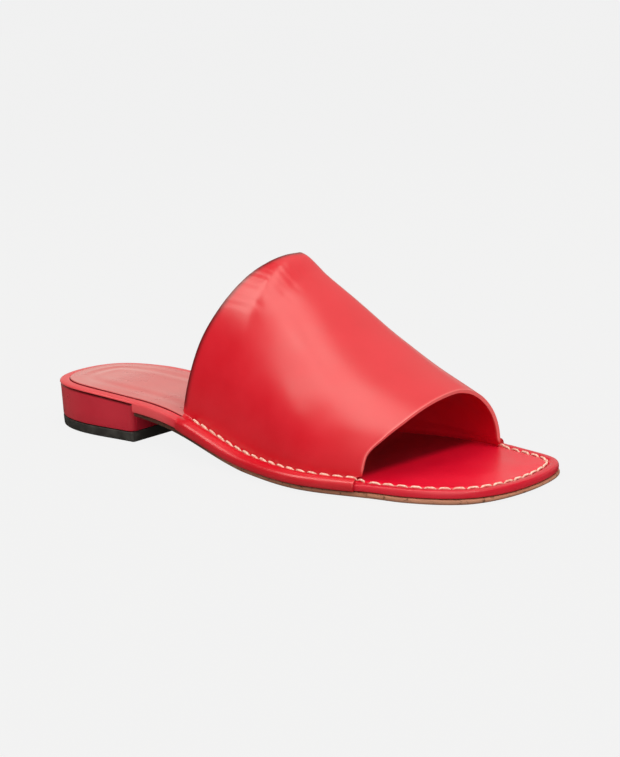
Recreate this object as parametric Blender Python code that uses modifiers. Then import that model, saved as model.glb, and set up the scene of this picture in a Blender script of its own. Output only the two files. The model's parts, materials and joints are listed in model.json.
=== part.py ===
"""Open-toe leather mule for the right foot, on a low covered heel.

The shoe stands on the plane z = 0, toe toward -Y and outer (lateral) side toward -X.
Tables and shape functions work in millimetres: `along` runs from the back of the heel (0)
to the tip of the toe (LENGTH), and to_world turns everything into metres.
"""

import math
from collections import namedtuple

import bmesh
import bpy
import numpy as np

MM = 0.001

# Driving dimensions, in millimetres.
LENGTH = 255.0  # back of the heel to the tip of the toe
MIDDLE = 128.0  # place along the shoe that stands over the origin
GAP = 0.3  # clearance between pieces that touch
BACK_OFFSET = 2.5  # where the middle of the heel's back lies, toward the inner side
TIP_OFFSET = 16.0  # where the tip of the toe lies, toward the inner side

SEAT_BOARD = 2.3  # midsole left above the middle of the heel
SEAT_RIM = 0.9  # midsole's rim above the heel's raised edge
SEAT_LIP = 1.6  # width of that raised edge, inside the rim
SEAT_SLOPE = 0.5  # slant of its inner wall
BREAST = 66.0  # flat front face of the heel, at its top
BREAST_RAKE = 1.4  # how far the breast runs back down to the top lift
CORNER = 3.0  # radius of the heel's front corners, seen from above
LIFT_HEIGHT = 4.6
LIFT_CORNER = 1.0
CUT_PAST = 5.0  # how far a cutter reaches outside the piece that it cuts
CUT_BELOW = 9.0  # and below the footbed
CUT_ABOVE = 2.0  # and above it

SOCK_INSET = 5.0  # insole's edge, inside the rim
SOCK_THICKNESS = 1.2
SOCK_END = 152.0  # front edge of the insole, hidden under the upper

WALL = 1.6  # leather of the upper
FOOT_INSET = 6.6  # where the upper's arch leaves its flange, inside the rim
FLANGE_RISE = GAP + WALL  # top of the flange above the footbed
RIDGE_SOFTNESS = 0.34  # how far the arch's ridge is rounded off, as a share of its half width
HEM_LIFT = 0.2  # upper's lower edge above the midsole's underside
CRISP = 35.0  # edges sharper than this angle, in degrees, stay crisp
SPLINE_STEPS = 40  # pieces of each span of the rim's curve

SIDE_STEPS = 36  # pieces of a sole outline, on each side
CORNER_STEPS = 5  # pieces of a rounded corner
ARCH_STEPS = 30  # pieces of the upper around the foot
UPPER_ROWS = 15  # pieces of the upper from its back edge to its front edge

# Half widths of the sole's rim on each side of the Y axis.
OutlineRow = namedtuple("OutlineRow", "along lateral medial")
OUTLINE = (
    OutlineRow(6.5, 21.0, 19.4),
    OutlineRow(30.0, 32.5, 27.8),
    OutlineRow(66.0, 32.2, 29.8),
    OutlineRow(107.0, 37.8, 31.6),
    OutlineRow(143.0, 43.7, 35.6),
    OutlineRow(176.0, 48.6, 44.8),
    OutlineRow(206.0, 41.6, 48.6),
    OutlineRow(232.0, 32.5, 43.4),
    OutlineRow(248.0, 18.8, 37.5),
)

# Height of the footbed above the floor, the thickness of the two layers below it, and how
# far the outsole's edge lies inside the rim.
HeightRow = namedtuple("HeightRow", "along footbed board outsole outsole_inset")
HEIGHTS = (
    HeightRow(0.0, 21.8, 4.9, 1.6, 1.2),
    HeightRow(30.0, 21.7, 4.9, 1.6, 1.2),
    HeightRow(62.0, 19.8, 4.9, 1.8, 1.2),
    HeightRow(84.0, 18.3, 4.7, 2.1, 1.0),
    HeightRow(102.0, 15.6, 4.2, 2.3, 0.8),
    HeightRow(112.0, 13.3, 3.8, 2.4, 0.7),
    HeightRow(122.0, 10.7, 3.5, 2.3, 0.5),
    HeightRow(132.0, 8.3, 3.1, 2.3, 0.4),
    HeightRow(142.0, 6.8, 2.9, 2.3, 0.3),
    HeightRow(156.0, 6.2, 2.8, 2.2, 0.2),
    HeightRow(185.0, 5.9, 2.8, 2.2, 0.1),
    HeightRow(208.0, 5.7, 2.8, 2.2, -0.1),
    HeightRow(222.0, 5.5, 3.1, 2.1, -0.3),
    HeightRow(242.0, 5.5, 3.1, 2.1, -0.4),
    HeightRow(255.0, 5.5, 3.1, 1.5, -0.5),
)

# Cross sections of the last: height of the ridge above the flange, its place toward the
# inner side, how square each flank is (2 is an ellipse) and how far the inner flank swells.
LastRow = namedtuple("LastRow", "along height ridge lateral_square medial_square swell")
LAST = (
    LastRow(76.0, 68.0, 6.0, 1.70, 2.10, 6.0),
    LastRow(97.0, 69.3, 12.0, 1.76, 2.10, 7.0),
    LastRow(125.0, 74.3, 19.2, 1.83, 2.08, 7.0),
    LastRow(136.0, 69.1, 19.5, 1.85, 2.06, 6.5),
    LastRow(150.0, 61.5, 19.7, 1.86, 2.04, 5.5),
    LastRow(175.0, 46.2, 18.6, 1.88, 1.98, 3.0),
    LastRow(199.0, 34.3, 15.6, 1.92, 1.92, 1.0),
    LastRow(224.0, 25.8, 10.0, 1.95, 1.86, 0.0),
)

# Back and front edges of the upper's arch, by angle round the foot from the lateral side.
EdgeRow = namedtuple("EdgeRow", "angle back front")
EDGES = (
    EdgeRow(0.0, 95.5, 200.8),
    EdgeRow(14.0, 98.4, 201.6),
    EdgeRow(30.0, 102.4, 206.4),
    EdgeRow(45.0, 108.4, 210.5),
    EdgeRow(60.0, 114.6, 213.0),
    EdgeRow(78.0, 121.8, 214.9),
    EdgeRow(90.0, 124.7, 215.6),
    EdgeRow(103.0, 122.8, 216.5),
    EdgeRow(120.0, 115.5, 217.2),
    EdgeRow(150.0, 99.0, 218.2),
    EdgeRow(180.0, 87.0, 218.4),
)
# The same edges where the upper wraps round the rim.
WRAP_EDGES = {"lateral": (98.5, 202.0), "medial": (88.0, 213.5)}

# The upper's foot, from the arch out over the rim: distance outside the rim's edge and
# height above the footbed.
FlangeRow = namedtuple("FlangeRow", "out rise")
FLANGE = (
    FlangeRow(-5.9, FLANGE_RISE + 0.15),
    FlangeRow(-5.3, FLANGE_RISE),
    FlangeRow(-0.7, FLANGE_RISE),
    FlangeRow(0.65, FLANGE_RISE - 0.55),
    FlangeRow(1.55, FLANGE_RISE - 1.65),
    FlangeRow(GAP + WALL, -1.3),
)

# Sections of the layered pieces from the bottom up: how far each ring lies outside the
# piece's own outline, and its rise above the face that the piece is measured from.
SectionRow = namedtuple("SectionRow", "out rise")
MIDSOLE_FOOT = (SectionRow(-1.0, 0.0), SectionRow(-0.2, 0.5))  # above its underside
MIDSOLE_RIM = (  # above the footbed
    SectionRow(0.0, -1.7),
    SectionRow(-0.2, -1.0),
    SectionRow(-0.9, -0.35),
    SectionRow(-2.0, 0.0),
)
INSOLE_SECTION = (  # above the footbed
    SectionRow(-0.3, -SOCK_THICKNESS),
    SectionRow(0.0, -0.8),
    SectionRow(0.0, -0.35),
    SectionRow(-0.4, 0.0),
)
OUTSOLE_FOOT = (SectionRow(-0.7, 0.0), SectionRow(-0.1, 0.4))  # above its underside
OUTSOLE_HEAD = (SectionRow(0.0, -0.4), SectionRow(-0.4, 0.0))  # above its top
HEEL_FOOT = (SectionRow(-1.4, 0.0), SectionRow(-1.0, 0.4))  # above the top lift
HEEL_HEAD = (  # above its raised edge
    SectionRow(-0.35, -0.8),
    SectionRow(-0.5, -0.2),
    SectionRow(-0.8, 0.0),
)
LIFT_FOOT = (SectionRow(-1.8, 0.0), SectionRow(-1.2, 0.6))  # above the floor
LIFT_HEAD = (SectionRow(-1.0, -0.3), SectionRow(-1.2, 0.0))  # above its top
LIFT_REACH = 0.3  # how far the lift's foot stands out in front

MATERIALS = {
    "upper": ((0.68, 0.012, 0.03, 1.0), 0.38),
    "midsole": ((0.60, 0.012, 0.035, 1.0), 0.42),
    "insole": ((0.62, 0.09, 0.09, 1.0), 0.30),
    "heel": ((0.42, 0.012, 0.02, 1.0), 0.25),
    "outsole": ((0.36, 0.18, 0.08, 1.0), 0.60),
    "top_lift": ((0.02, 0.018, 0.018, 1.0), 0.55),
}


def column(table, name, at, key="along"):
    """Read one column of a table at any place, through a smooth curve without overshoot."""
    x = np.array([getattr(row, key) for row in table])
    y = np.array([getattr(row, name) for row in table])
    step = np.diff(x)
    slope = np.diff(y) / step
    tangent = np.zeros(len(x))
    for i in range(1, len(x) - 1):
        if slope[i - 1] * slope[i] > 0.0:
            left = 2.0 * step[i] + step[i - 1]
            right = step[i] + 2.0 * step[i - 1]
            tangent[i] = (left + right) / (left / slope[i - 1] + right / slope[i])
    tangent[0] = slope[0]
    tangent[-1] = slope[-1]
    place = np.clip(np.asarray(at, dtype=float), x[0], x[-1])
    i = np.clip(np.searchsorted(x, place, side="right") - 1, 0, len(x) - 2)
    t = (place - x[i]) / step[i]
    start = (1.0 + 2.0 * t) * (1.0 - t) ** 2 * y[i] + t * (1.0 - t) ** 2 * step[i] * tangent[i]
    end = t * t * (3.0 - 2.0 * t) * y[i + 1] - t * t * (1.0 - t) * step[i] * tangent[i + 1]
    return start + end


def footbed(along):
    """Height of the midsole's top face."""
    return column(HEIGHTS, "footbed", along)


def board_bottom(along):
    """Height of the midsole's underside."""
    return footbed(along) - column(HEIGHTS, "board", along)


def closed_spline(points):
    """Smooth closed curve through points, with SPLINE_STEPS places along each span."""
    points = np.array(points, dtype=float)
    count = len(points)
    after = np.roll(points, -1, axis=0)
    span = np.linalg.norm(after - points, axis=1) ** 0.75
    before = np.roll(span, 1)
    chord = (after - points) / span[:, None]
    system = np.zeros((count, count))
    for i in range(count):
        system[i, i - 1] = before[i]
        system[i, i] = 2.0 * (before[i] + span[i])
        system[i, (i + 1) % count] = span[i]
    bend = np.linalg.solve(system, 6.0 * (chord - np.roll(chord, 1, axis=0)))
    curve = []
    for i in range(count):
        here, there = bend[i], bend[(i + 1) % count]
        for t in np.arange(SPLINE_STEPS) / SPLINE_STEPS * span[i]:
            rest = span[i] - t
            arc = (here * rest ** 3 + there * t ** 3) / (6.0 * span[i])
            straight = (points[i] / span[i] - here * span[i] / 6.0) * rest
            straight = straight + (after[i] / span[i] - there * span[i] / 6.0) * t
            curve.append(arc + straight)
    return np.array(curve)


def rim_curves():
    """The rim's two sides from back to tip, each with its outward normals."""
    lateral = [(-row.lateral, row.along) for row in OUTLINE]
    medial = [(row.medial, row.along) for row in reversed(OUTLINE)]
    knots = [(BACK_OFFSET, 0.0)] + lateral + [(TIP_OFFSET, LENGTH)] + medial
    curve = closed_spline(knots)
    run = np.roll(curve, -1, axis=0) - np.roll(curve, 1, axis=0)
    run = run / np.linalg.norm(run, axis=1)[:, None]
    normal = np.column_stack([-run[:, 1], run[:, 0]])
    tip = SPLINE_STEPS * (len(OUTLINE) + 1)
    order = np.concatenate([[0], np.arange(len(curve) - 1, tip - 1, -1)])
    return {
        "lateral": (curve[: tip + 1], normal[: tip + 1]),
        "medial": (curve[order], normal[order]),
    }


RIM = rim_curves()


def rim_line(side, offset, inset=None):
    """One side of the rim moved outward by offset, less the inset that a column gives."""
    curve, normal = RIM[side]
    outward = np.full(len(curve), float(offset))
    if inset:
        outward -= column(HEIGHTS, inset, curve[:, 1])
    return curve + normal * outward[:, None]


def stretch(line, start, end):
    """Cut a line to the places between start and end."""
    inside = (line[:, 1] > start) & (line[:, 1] < end)
    cut = line[inside]
    if start > line[0, 1]:
        cut = np.vstack([[np.interp(start, line[:, 1], line[:, 0]), start], cut])
    if end < line[-1, 1]:
        cut = np.vstack([cut, [np.interp(end, line[:, 1], line[:, 0]), end]])
    return cut


def respace(line, steps):
    """Spread steps + 1 points evenly along a line."""
    run = np.concatenate([[0.0], np.cumsum(np.linalg.norm(np.diff(line, axis=0), axis=1))])
    place = np.linspace(0.0, run[-1], steps + 1)
    return np.column_stack([np.interp(place, run, line[:, k]) for k in range(2)])


def ring_side(ring, side):
    """Points of a ring on one side, with its front corner rounded if it has one."""
    line = rim_line(side, ring.offset, ring.inset)
    if ring.corner == 0.0:
        return respace(stretch(line, ring.start, ring.end), SIDE_STEPS)
    straight = stretch(line, ring.start, ring.end - ring.corner)
    points = list(respace(straight, SIDE_STEPS - CORNER_STEPS))
    inward = 1.0 if side == "lateral" else -1.0
    for i in range(1, CORNER_STEPS + 1):
        turn = math.radians(90.0) * i / CORNER_STEPS
        along = ring.end - ring.corner * (1.0 - math.sin(turn))
        x = np.interp(along, line[:, 1], line[:, 0])
        points.append((x + inward * ring.corner * (1.0 - math.cos(turn)), along))
    return np.array(points)


def to_world(x, along, z):
    """Point in metres, with the toe toward -Y and the origin under the middle."""
    return (x * MM, (MIDDLE - along) * MM, z * MM)


def new_object(name, mesh, collection):
    """Link a mesh to a collection under its name."""
    piece = bpy.data.objects.new(name, mesh)
    collection.objects.link(piece)
    return piece


def give_material(piece):
    """One Principled material for each piece."""
    color, roughness = MATERIALS[piece.name]
    material = bpy.data.materials.new(piece.name)
    material.use_nodes = True
    shader = material.node_tree.nodes["Principled BSDF"]
    shader.inputs["Base Color"].default_value = color
    shader.inputs["Roughness"].default_value = roughness
    material.diffuse_color = color
    piece.data.materials.append(material)


def shade(piece):
    """Smooth shading that keeps crisp edges crisp."""
    piece.data.shade_smooth()
    piece.data.set_sharp_from_angle(angle=math.radians(CRISP))


Ring = namedtuple(
    "Ring", "offset level start end corner inset", defaults=(-math.inf, math.inf, 0.0, None)
)


def layer(name, rings, collection):
    """Closed solid lofted through rings of the rim's outline, from its bottom to its top.

    A ring is the rim moved outward by its offset, cut to a stretch of the length, at the
    height that its level function gives. A joined end comes to a point on the rim's line.
    """
    joined_back = rings[0].start == -math.inf
    joined_tip = rings[0].end == math.inf
    work = bmesh.new()
    loops = []
    for ring in rings:
        sides = []
        for side in ("lateral", "medial"):
            line = ring_side(ring, side)
            height = ring.level(line[:, 1])
            sides.append([to_world(x, along, z) for (x, along), z in zip(line, height)])
        lateral = [work.verts.new(point) for point in sides[0]]
        medial = [None] * (SIDE_STEPS + 1)
        for i, point in enumerate(sides[1]):
            shared = (i == 0 and joined_back) or (i == SIDE_STEPS and joined_tip)
            medial[i] = lateral[i] if shared else work.verts.new(point)
        loops.append((lateral, medial))
    for (low_a, low_b), (high_a, high_b) in zip(loops, loops[1:]):
        for low, high in ((low_a, high_a), (low_b, high_b)):
            for i in range(SIDE_STEPS):
                work.faces.new((low[i], low[i + 1], high[i + 1], high[i]))
    for end, joined in ((0, joined_back), (-1, joined_tip)):
        if not joined:
            up = [lateral[end] for lateral, medial in loops]
            down = [medial[end] for lateral, medial in reversed(loops)]
            work.faces.new(up + down)
    for lateral, medial in (loops[0], loops[-1]):
        for i in range(SIDE_STEPS):
            corners = (lateral[i], lateral[i + 1], medial[i + 1], medial[i])
            work.faces.new(tuple(dict.fromkeys(corners)))
    bmesh.ops.recalc_face_normals(work, faces=work.faces)
    mesh = bpy.data.meshes.new(name)
    work.to_mesh(mesh)
    work.free()
    return new_object(name, mesh, collection)


def cut_away(piece, cutter):
    """Take the cutter's shape out of a piece."""
    cutter.hide_render = True
    cutter.display_type = "WIRE"
    boolean = piece.modifiers.new(cutter.name, "BOOLEAN")
    boolean.operation = "DIFFERENCE"
    boolean.solver = "EXACT"
    boolean.object = cutter


def above(base, rise):
    """Level function that lies a fixed rise above another one."""
    return lambda along: base(along) + rise


def flat(height):
    """Level function of a plane."""
    return lambda along: np.full(np.shape(along), height)


def rings_above(section, base, outline=0.0, **cut):
    """Rings of a section whose outline lies outside the rim and whose rises start at a base."""
    return tuple(Ring(outline + row.out, above(base, row.rise), **cut) for row in section)


def build_midsole(parts, cutters):
    """Wrapped board with a rolled rim, a recess for the insole and a seat for the heel."""
    rings = rings_above(MIDSOLE_FOOT, board_bottom) + rings_above(MIDSOLE_RIM, footbed)
    midsole = layer("midsole", rings, parts)
    inside = GAP - SOCK_INSET
    recess = layer(
        "insole_recess",
        (
            Ring(inside, above(footbed, -SOCK_THICKNESS - GAP), end=SOCK_END + GAP),
            Ring(inside, above(footbed, CUT_ABOVE), end=SOCK_END + GAP),
        ),
        cutters,
    )
    front = BREAST + GAP
    seat = layer(
        "heel_seat",
        (
            Ring(CUT_PAST, above(footbed, -CUT_BELOW), end=front),
            Ring(CUT_PAST, above(footbed, -SEAT_RIM), end=front),
            Ring(-SEAT_LIP, above(footbed, -SEAT_RIM), end=front),
            Ring(-SEAT_LIP - SEAT_SLOPE, above(footbed, -SEAT_BOARD), end=front),
        ),
        cutters,
    )
    cut_away(midsole, recess)
    cut_away(midsole, seat)
    return midsole


def build_insole(parts):
    """Sock that lies flush in the midsole's recess."""
    rings = rings_above(INSOLE_SECTION, footbed, -SOCK_INSET, end=SOCK_END)
    return layer("insole", rings, parts)


def build_outsole(parts):
    """Leather sole from the heel's breast to the toe, flat on the floor in the forefoot."""

    def top(along):
        return board_bottom(along) - GAP

    def underside(along):
        return top(along) - column(HEIGHTS, "outsole", along)

    cut = {"start": BREAST + GAP, "inset": "outsole_inset"}
    rings = rings_above(OUTSOLE_FOOT, underside, **cut) + rings_above(OUTSOLE_HEAD, top, **cut)
    return layer("outsole", rings, parts)


def build_heel(parts, cutters):
    """Covered block under the seat, with a slight taper and a breast that leans forward."""
    lip = -SEAT_RIM - GAP
    low = BREAST - BREAST_RAKE
    foot = rings_above(HEEL_FOOT, flat(LIFT_HEIGHT + GAP), end=low, corner=CORNER)
    head = rings_above(HEEL_HEAD, above(footbed, lip), end=BREAST, corner=CORNER)
    heel = layer("heel", foot + head, parts)
    inside = GAP - SEAT_LIP
    past = BREAST + CORNER
    channel = layer(
        "seat_channel",
        (
            Ring(inside - SEAT_SLOPE, above(footbed, -SEAT_BOARD - GAP), end=past),
            Ring(inside, above(footbed, lip), end=past),
            Ring(inside, above(footbed, CUT_ABOVE), end=past),
        ),
        cutters,
    )
    cut_away(heel, channel)
    return heel


def build_top_lift(parts):
    """Rubber wear piece under the heel, flat on the floor."""
    front = BREAST - BREAST_RAKE
    foot = rings_above(LIFT_FOOT, flat(0.0), end=front + LIFT_REACH, corner=LIFT_CORNER)
    head = rings_above(LIFT_HEAD, flat(LIFT_HEIGHT), end=front, corner=LIFT_CORNER)
    return layer("top_lift", foot + head, parts)


def arch_point(angle, along):
    """Outer surface of the upper above its flange, over the last."""
    side = "lateral" if angle <= 90.0 else "medial"
    square = column(LAST, side + "_square", along)
    line = rim_line(side, -FOOT_INSET)
    base = np.interp(along, line[:, 1], line[:, 0])
    ridge = column(LAST, "ridge", along)
    turn = math.radians(angle)
    lean = abs(math.cos(turn)) ** (2.0 / square)
    x = ridge + (base - ridge) * lean
    if side == "medial":
        x -= column(LAST, "swell", along) * math.sin(2.0 * turn)
    crest = RIDGE_SOFTNESS ** square
    fall = (lean ** 2 + RIDGE_SOFTNESS ** 2) ** (square / 2.0) - crest
    whole = (1.0 + RIDGE_SOFTNESS ** 2) ** (square / 2.0) - crest
    up = max(0.0, 1.0 - fall / whole) ** (1.0 / square)
    z = footbed(along) + FLANGE_RISE + column(LAST, "height", along) * up
    return to_world(x, along, z)


def flange_point(side, out, rise, along):
    """Outer surface of the upper's foot, square to the rim at a place along it."""
    rim = rim_line(side, 0.0)
    moved = rim_line(side, out)
    x = np.interp(along, rim[:, 1], moved[:, 0])
    reached = np.interp(along, rim[:, 1], moved[:, 1])
    return to_world(x, reached, footbed(along) + rise)


def between(ends, t):
    """Value at t between a pair of ends."""
    return ends[0] + (ends[1] - ends[0]) * t


def foot_points(side, t):
    """Section of the upper's foot from the arch out to the hem beside the outsole."""
    angle = 0.0 if side == "lateral" else 180.0
    crease = (column(EDGES, "back", angle, "angle"), column(EDGES, "front", angle, "angle"))
    wrap = WRAP_EDGES[side]
    points = []
    for row in FLANGE:
        share = min(1.0, (row.out - FLANGE[0].out) / -FLANGE[0].out)
        along = between(crease, t) * (1.0 - share) + between(wrap, t) * share
        points.append(flange_point(side, row.out, row.rise, along))
    along = between(wrap, t)
    hem = board_bottom(along) - footbed(along) + HEM_LIFT
    points.append(flange_point(side, GAP + WALL, hem, along))
    return points


def upper_section(t):
    """Points of one section, from the lateral hem over the ridge to the medial hem."""
    arch = []
    for i in range(1, ARCH_STEPS):
        angle = 180.0 * i / ARCH_STEPS
        edge = (column(EDGES, "back", angle, "angle"), column(EDGES, "front", angle, "angle"))
        arch.append(arch_point(angle, between(edge, t)))
    return foot_points("lateral", t)[::-1] + arch + foot_points("medial", t)


def build_upper(parts):
    """One leather band: arch, flange on the rim and wrap down to the outsole."""
    sections = [upper_section(row / UPPER_ROWS) for row in range(UPPER_ROWS + 1)]
    work = bmesh.new()
    bmesh.ops.create_grid(
        work, x_segments=len(sections[0]) - 1, y_segments=len(sections) - 1, size=1.0
    )
    places = sorted(work.verts, key=lambda v: (round(v.co.y, 5), round(v.co.x, 5)))
    flattened = [point for section in sections for point in section]
    for vert, point in zip(places, flattened):
        vert.co = point
    bmesh.ops.recalc_face_normals(work, faces=work.faces)
    ridge = max(work.faces, key=lambda face: face.calc_center_median().z)
    if ridge.normal.z < 0.0:
        bmesh.ops.reverse_faces(work, faces=work.faces)
    mesh = bpy.data.meshes.new("upper")
    work.to_mesh(mesh)
    work.free()
    upper = new_object("upper", mesh, parts)
    solidify = upper.modifiers.new("wall", "SOLIDIFY")
    solidify.thickness = WALL * MM
    solidify.offset = -1.0
    solidify.use_even_offset = True
    return upper


def main():
    """Build every piece of the mule in its own node."""
    for item in list(bpy.data.objects):
        bpy.data.objects.remove(item, do_unlink=True)
    parts = bpy.data.collections.new("mule")
    cutters = bpy.data.collections.new("mule_cutters")
    bpy.context.scene.collection.children.link(parts)
    bpy.context.scene.collection.children.link(cutters)
    pieces = (
        build_outsole(parts),
        build_midsole(parts, cutters),
        build_insole(parts),
        build_upper(parts),
        build_heel(parts, cutters),
        build_top_lift(parts),
    )
    for piece in pieces:
        give_material(piece)
        shade(piece)


main()
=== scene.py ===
"""Looks of an open-toe leather mule for the right foot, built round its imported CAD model.

The shoe stands on the plane z = 0 with its toe toward -Y and its outer (lateral) side toward -X.
Sizes are in millimetres, as a shoemaker writes them: `along` runs from the back of the heel to
the tip of the toe, `out` runs outward from the rim of the sole, and `rise` runs up from the
footbed. `to_metres` turns them into the frame of the CAD model.
"""

import json
import logging
import math
from collections.abc import Callable
from dataclasses import dataclass
from enum import Enum

import bpy
import numpy as np
from mathutils import Matrix, Vector

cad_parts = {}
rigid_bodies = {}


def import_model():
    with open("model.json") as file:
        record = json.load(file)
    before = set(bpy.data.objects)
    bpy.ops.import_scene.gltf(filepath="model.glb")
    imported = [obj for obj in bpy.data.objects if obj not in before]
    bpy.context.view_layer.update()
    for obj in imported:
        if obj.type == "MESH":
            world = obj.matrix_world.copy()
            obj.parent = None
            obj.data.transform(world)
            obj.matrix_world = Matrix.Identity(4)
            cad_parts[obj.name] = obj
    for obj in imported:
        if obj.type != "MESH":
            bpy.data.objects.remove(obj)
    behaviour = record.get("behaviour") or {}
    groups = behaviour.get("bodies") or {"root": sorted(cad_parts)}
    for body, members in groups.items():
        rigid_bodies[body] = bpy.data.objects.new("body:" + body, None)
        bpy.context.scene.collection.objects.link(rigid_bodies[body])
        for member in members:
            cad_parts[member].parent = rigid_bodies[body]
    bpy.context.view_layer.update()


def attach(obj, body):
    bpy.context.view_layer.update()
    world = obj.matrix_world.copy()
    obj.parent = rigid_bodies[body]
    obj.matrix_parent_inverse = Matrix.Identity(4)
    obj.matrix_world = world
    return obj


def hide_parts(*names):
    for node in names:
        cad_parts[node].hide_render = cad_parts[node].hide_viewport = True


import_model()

LOG = logging.getLogger("mule")

MM = 0.001
MIDDLE = 128.0
GAP = 0.3
WALL = 1.6
WELD = 1e-6  # vertices closer than this are merged, in metres

Colour = tuple[float, float, float]
Level = Callable[[np.ndarray], np.ndarray]


class Side(Enum):
    """The two sides of a foot."""

    LATERAL = "lateral"
    MEDIAL = "medial"


@dataclass(frozen=True)
class Table:
    """Sizes in named columns, read between its rows through a curve without overshoot."""

    columns: tuple[str, ...]
    rows: tuple[tuple[float, ...], ...]

    def read(self, name: str, place: np.ndarray | float) -> np.ndarray:
        """Read a column.

        Args:
            name: the column's name.
            place: where to read, in the units of the first column.

        Returns:
            The column's value at each place.
        """
        x = np.array([row[0] for row in self.rows])
        y = np.array([row[self.columns.index(name)] for row in self.rows])
        step = np.diff(x)
        slope = np.diff(y) / step
        tangent = np.zeros(len(x))
        for i in range(1, len(x) - 1):
            if slope[i - 1] * slope[i] > 0.0:
                left = 2.0 * step[i] + step[i - 1]
                right = step[i] + 2.0 * step[i - 1]
                tangent[i] = (left + right) / (left / slope[i - 1] + right / slope[i])
        tangent[0] = slope[0]
        tangent[-1] = slope[-1]
        place = np.clip(np.asarray(place, dtype=float), x[0], x[-1])
        i = np.clip(np.searchsorted(x, place, side="right") - 1, 0, len(x) - 2)
        t = (place - x[i]) / step[i]
        start = (1.0 + 2.0 * t) * (1.0 - t) ** 2 * y[i] + t * (1.0 - t) ** 2 * step[i] * tangent[i]
        end = t * t * (3.0 - 2.0 * t) * y[i + 1] - t * t * (1.0 - t) * step[i] * tangent[i + 1]
        return start + end

    def flow(self, name: str, steps: int) -> np.ndarray:
        """Column as a smooth curve, which each row between the first and last only pulls on.

        Args:
            name: the column's name.
            steps: how many pieces the curve is divided into.

        Returns:
            The curve's values, from the first row to the last.
        """
        y = np.array([row[self.columns.index(name)] for row in self.rows])
        y = np.concatenate([[2.0 * y[0] - y[1]], y, [2.0 * y[-1] - y[-2]]])
        place = np.linspace(0.0, len(self.rows) - 1.0, steps + 1)
        i = np.minimum(place.astype(int), len(self.rows) - 2)
        t = place - i
        rest = 1.0 - t
        pulls = (rest**3, 3.0 * t**3 - 6.0 * t**2 + 4.0, 3.0 * rest**3 - 6.0 * rest**2 + 4.0, t**3)
        return sum(pull * y[i + k] for k, pull in enumerate(pulls)) / 6.0


OUTLINE = Table(
    ("along", "lateral", "medial"),
    (
        (6.5, 21.0, 19.4),
        (30.0, 32.5, 27.8),
        (66.0, 32.2, 29.8),
        (107.0, 37.8, 31.6),
        (143.0, 43.7, 35.6),
        (176.0, 48.6, 44.8),
        (206.0, 41.6, 48.6),
        (232.0, 32.5, 43.4),
        (248.0, 18.8, 37.5),
    ),
)
HEIGHTS = Table(
    ("along", "footbed", "board", "outsole", "inset"),
    (
        (0.0, 21.8, 4.9, 1.6, 1.2),
        (30.0, 21.7, 4.9, 1.6, 1.2),
        (62.0, 19.8, 4.9, 1.8, 1.2),
        (84.0, 18.3, 4.7, 2.1, 1.0),
        (102.0, 15.6, 4.2, 2.3, 0.8),
        (112.0, 13.3, 3.8, 2.4, 0.7),
        (122.0, 10.7, 3.5, 2.3, 0.5),
        (132.0, 8.3, 3.1, 2.3, 0.4),
        (142.0, 6.8, 2.9, 2.3, 0.3),
        (156.0, 6.2, 2.8, 2.2, 0.2),
        (185.0, 5.9, 2.8, 2.2, 0.1),
        (208.0, 5.7, 2.8, 2.2, -0.1),
        (222.0, 5.5, 3.1, 2.1, -0.3),
        (242.0, 5.5, 3.1, 2.1, -0.4),
        (255.0, 5.5, 3.1, 1.5, -0.5),
    ),
)
LAST = Table(
    ("along", "height", "ridge", "lateral_square", "medial_square", "swell"),
    (
        (76.0, 68.0, 6.0, 1.70, 2.10, 6.0),
        (97.0, 69.3, 12.0, 1.76, 2.10, 7.0),
        (125.0, 74.3, 19.2, 1.83, 2.08, 7.0),
        (136.0, 69.1, 19.5, 1.85, 2.06, 6.5),
        (150.0, 61.5, 19.7, 1.86, 2.04, 5.5),
        (175.0, 46.2, 18.6, 1.88, 1.98, 3.0),
        (199.0, 34.3, 15.6, 1.92, 1.92, 1.0),
        (224.0, 25.8, 10.0, 1.95, 1.86, 0.0),
    ),
)
# Back and front edges of the upper's arch, by angle round the foot from the lateral side.
EDGES = Table(
    ("angle", "back", "front"),
    (
        (0.0, 95.5, 200.8),
        (14.0, 98.4, 201.6),
        (30.0, 102.4, 206.4),
        (45.0, 108.4, 210.5),
        (60.0, 114.6, 213.0),
        (78.0, 121.8, 214.9),
        (90.0, 124.7, 215.6),
        (103.0, 122.8, 216.5),
        (120.0, 115.5, 217.2),
        (150.0, 99.0, 218.2),
        (180.0, 87.0, 218.4),
    ),
)


def footbed(along: np.ndarray | float) -> np.ndarray:
    """Height of the midsole's top face above the floor."""
    return HEIGHTS.read("footbed", along)


def board_bottom(along: np.ndarray | float) -> np.ndarray:
    """Height of the midsole's underside above the floor."""
    return footbed(along) - HEIGHTS.read("board", along)


def above(base: Level, rise: float) -> Level:
    """Level that lies a fixed rise above another one."""
    return lambda along: base(along) + rise


def flat(height: float) -> Level:
    """Level of a plane."""
    return lambda along: np.full(np.shape(along), height)


def smooth_step(value: np.ndarray | float, start: float, end: float) -> np.ndarray:
    """Rise smoothly from 0 at start to 1 at end."""
    t = np.clip((np.asarray(value, dtype=float) - start) / (end - start), 0.0, 1.0)
    return t * t * (3.0 - 2.0 * t)


def bell(value: np.ndarray | float, centre: float, width: float) -> np.ndarray:
    """Soft bump of height 1 round a centre."""
    return np.exp(-(((np.asarray(value, dtype=float) - centre) / width) ** 2))


def to_metres(points: np.ndarray) -> np.ndarray:
    """Turn points of x, along and z in millimetres into the CAD model's frame."""
    x, along, z = np.moveaxis(np.asarray(points, dtype=float), -1, 0)
    return np.stack([x, MIDDLE - along, z], axis=-1) * MM


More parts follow.
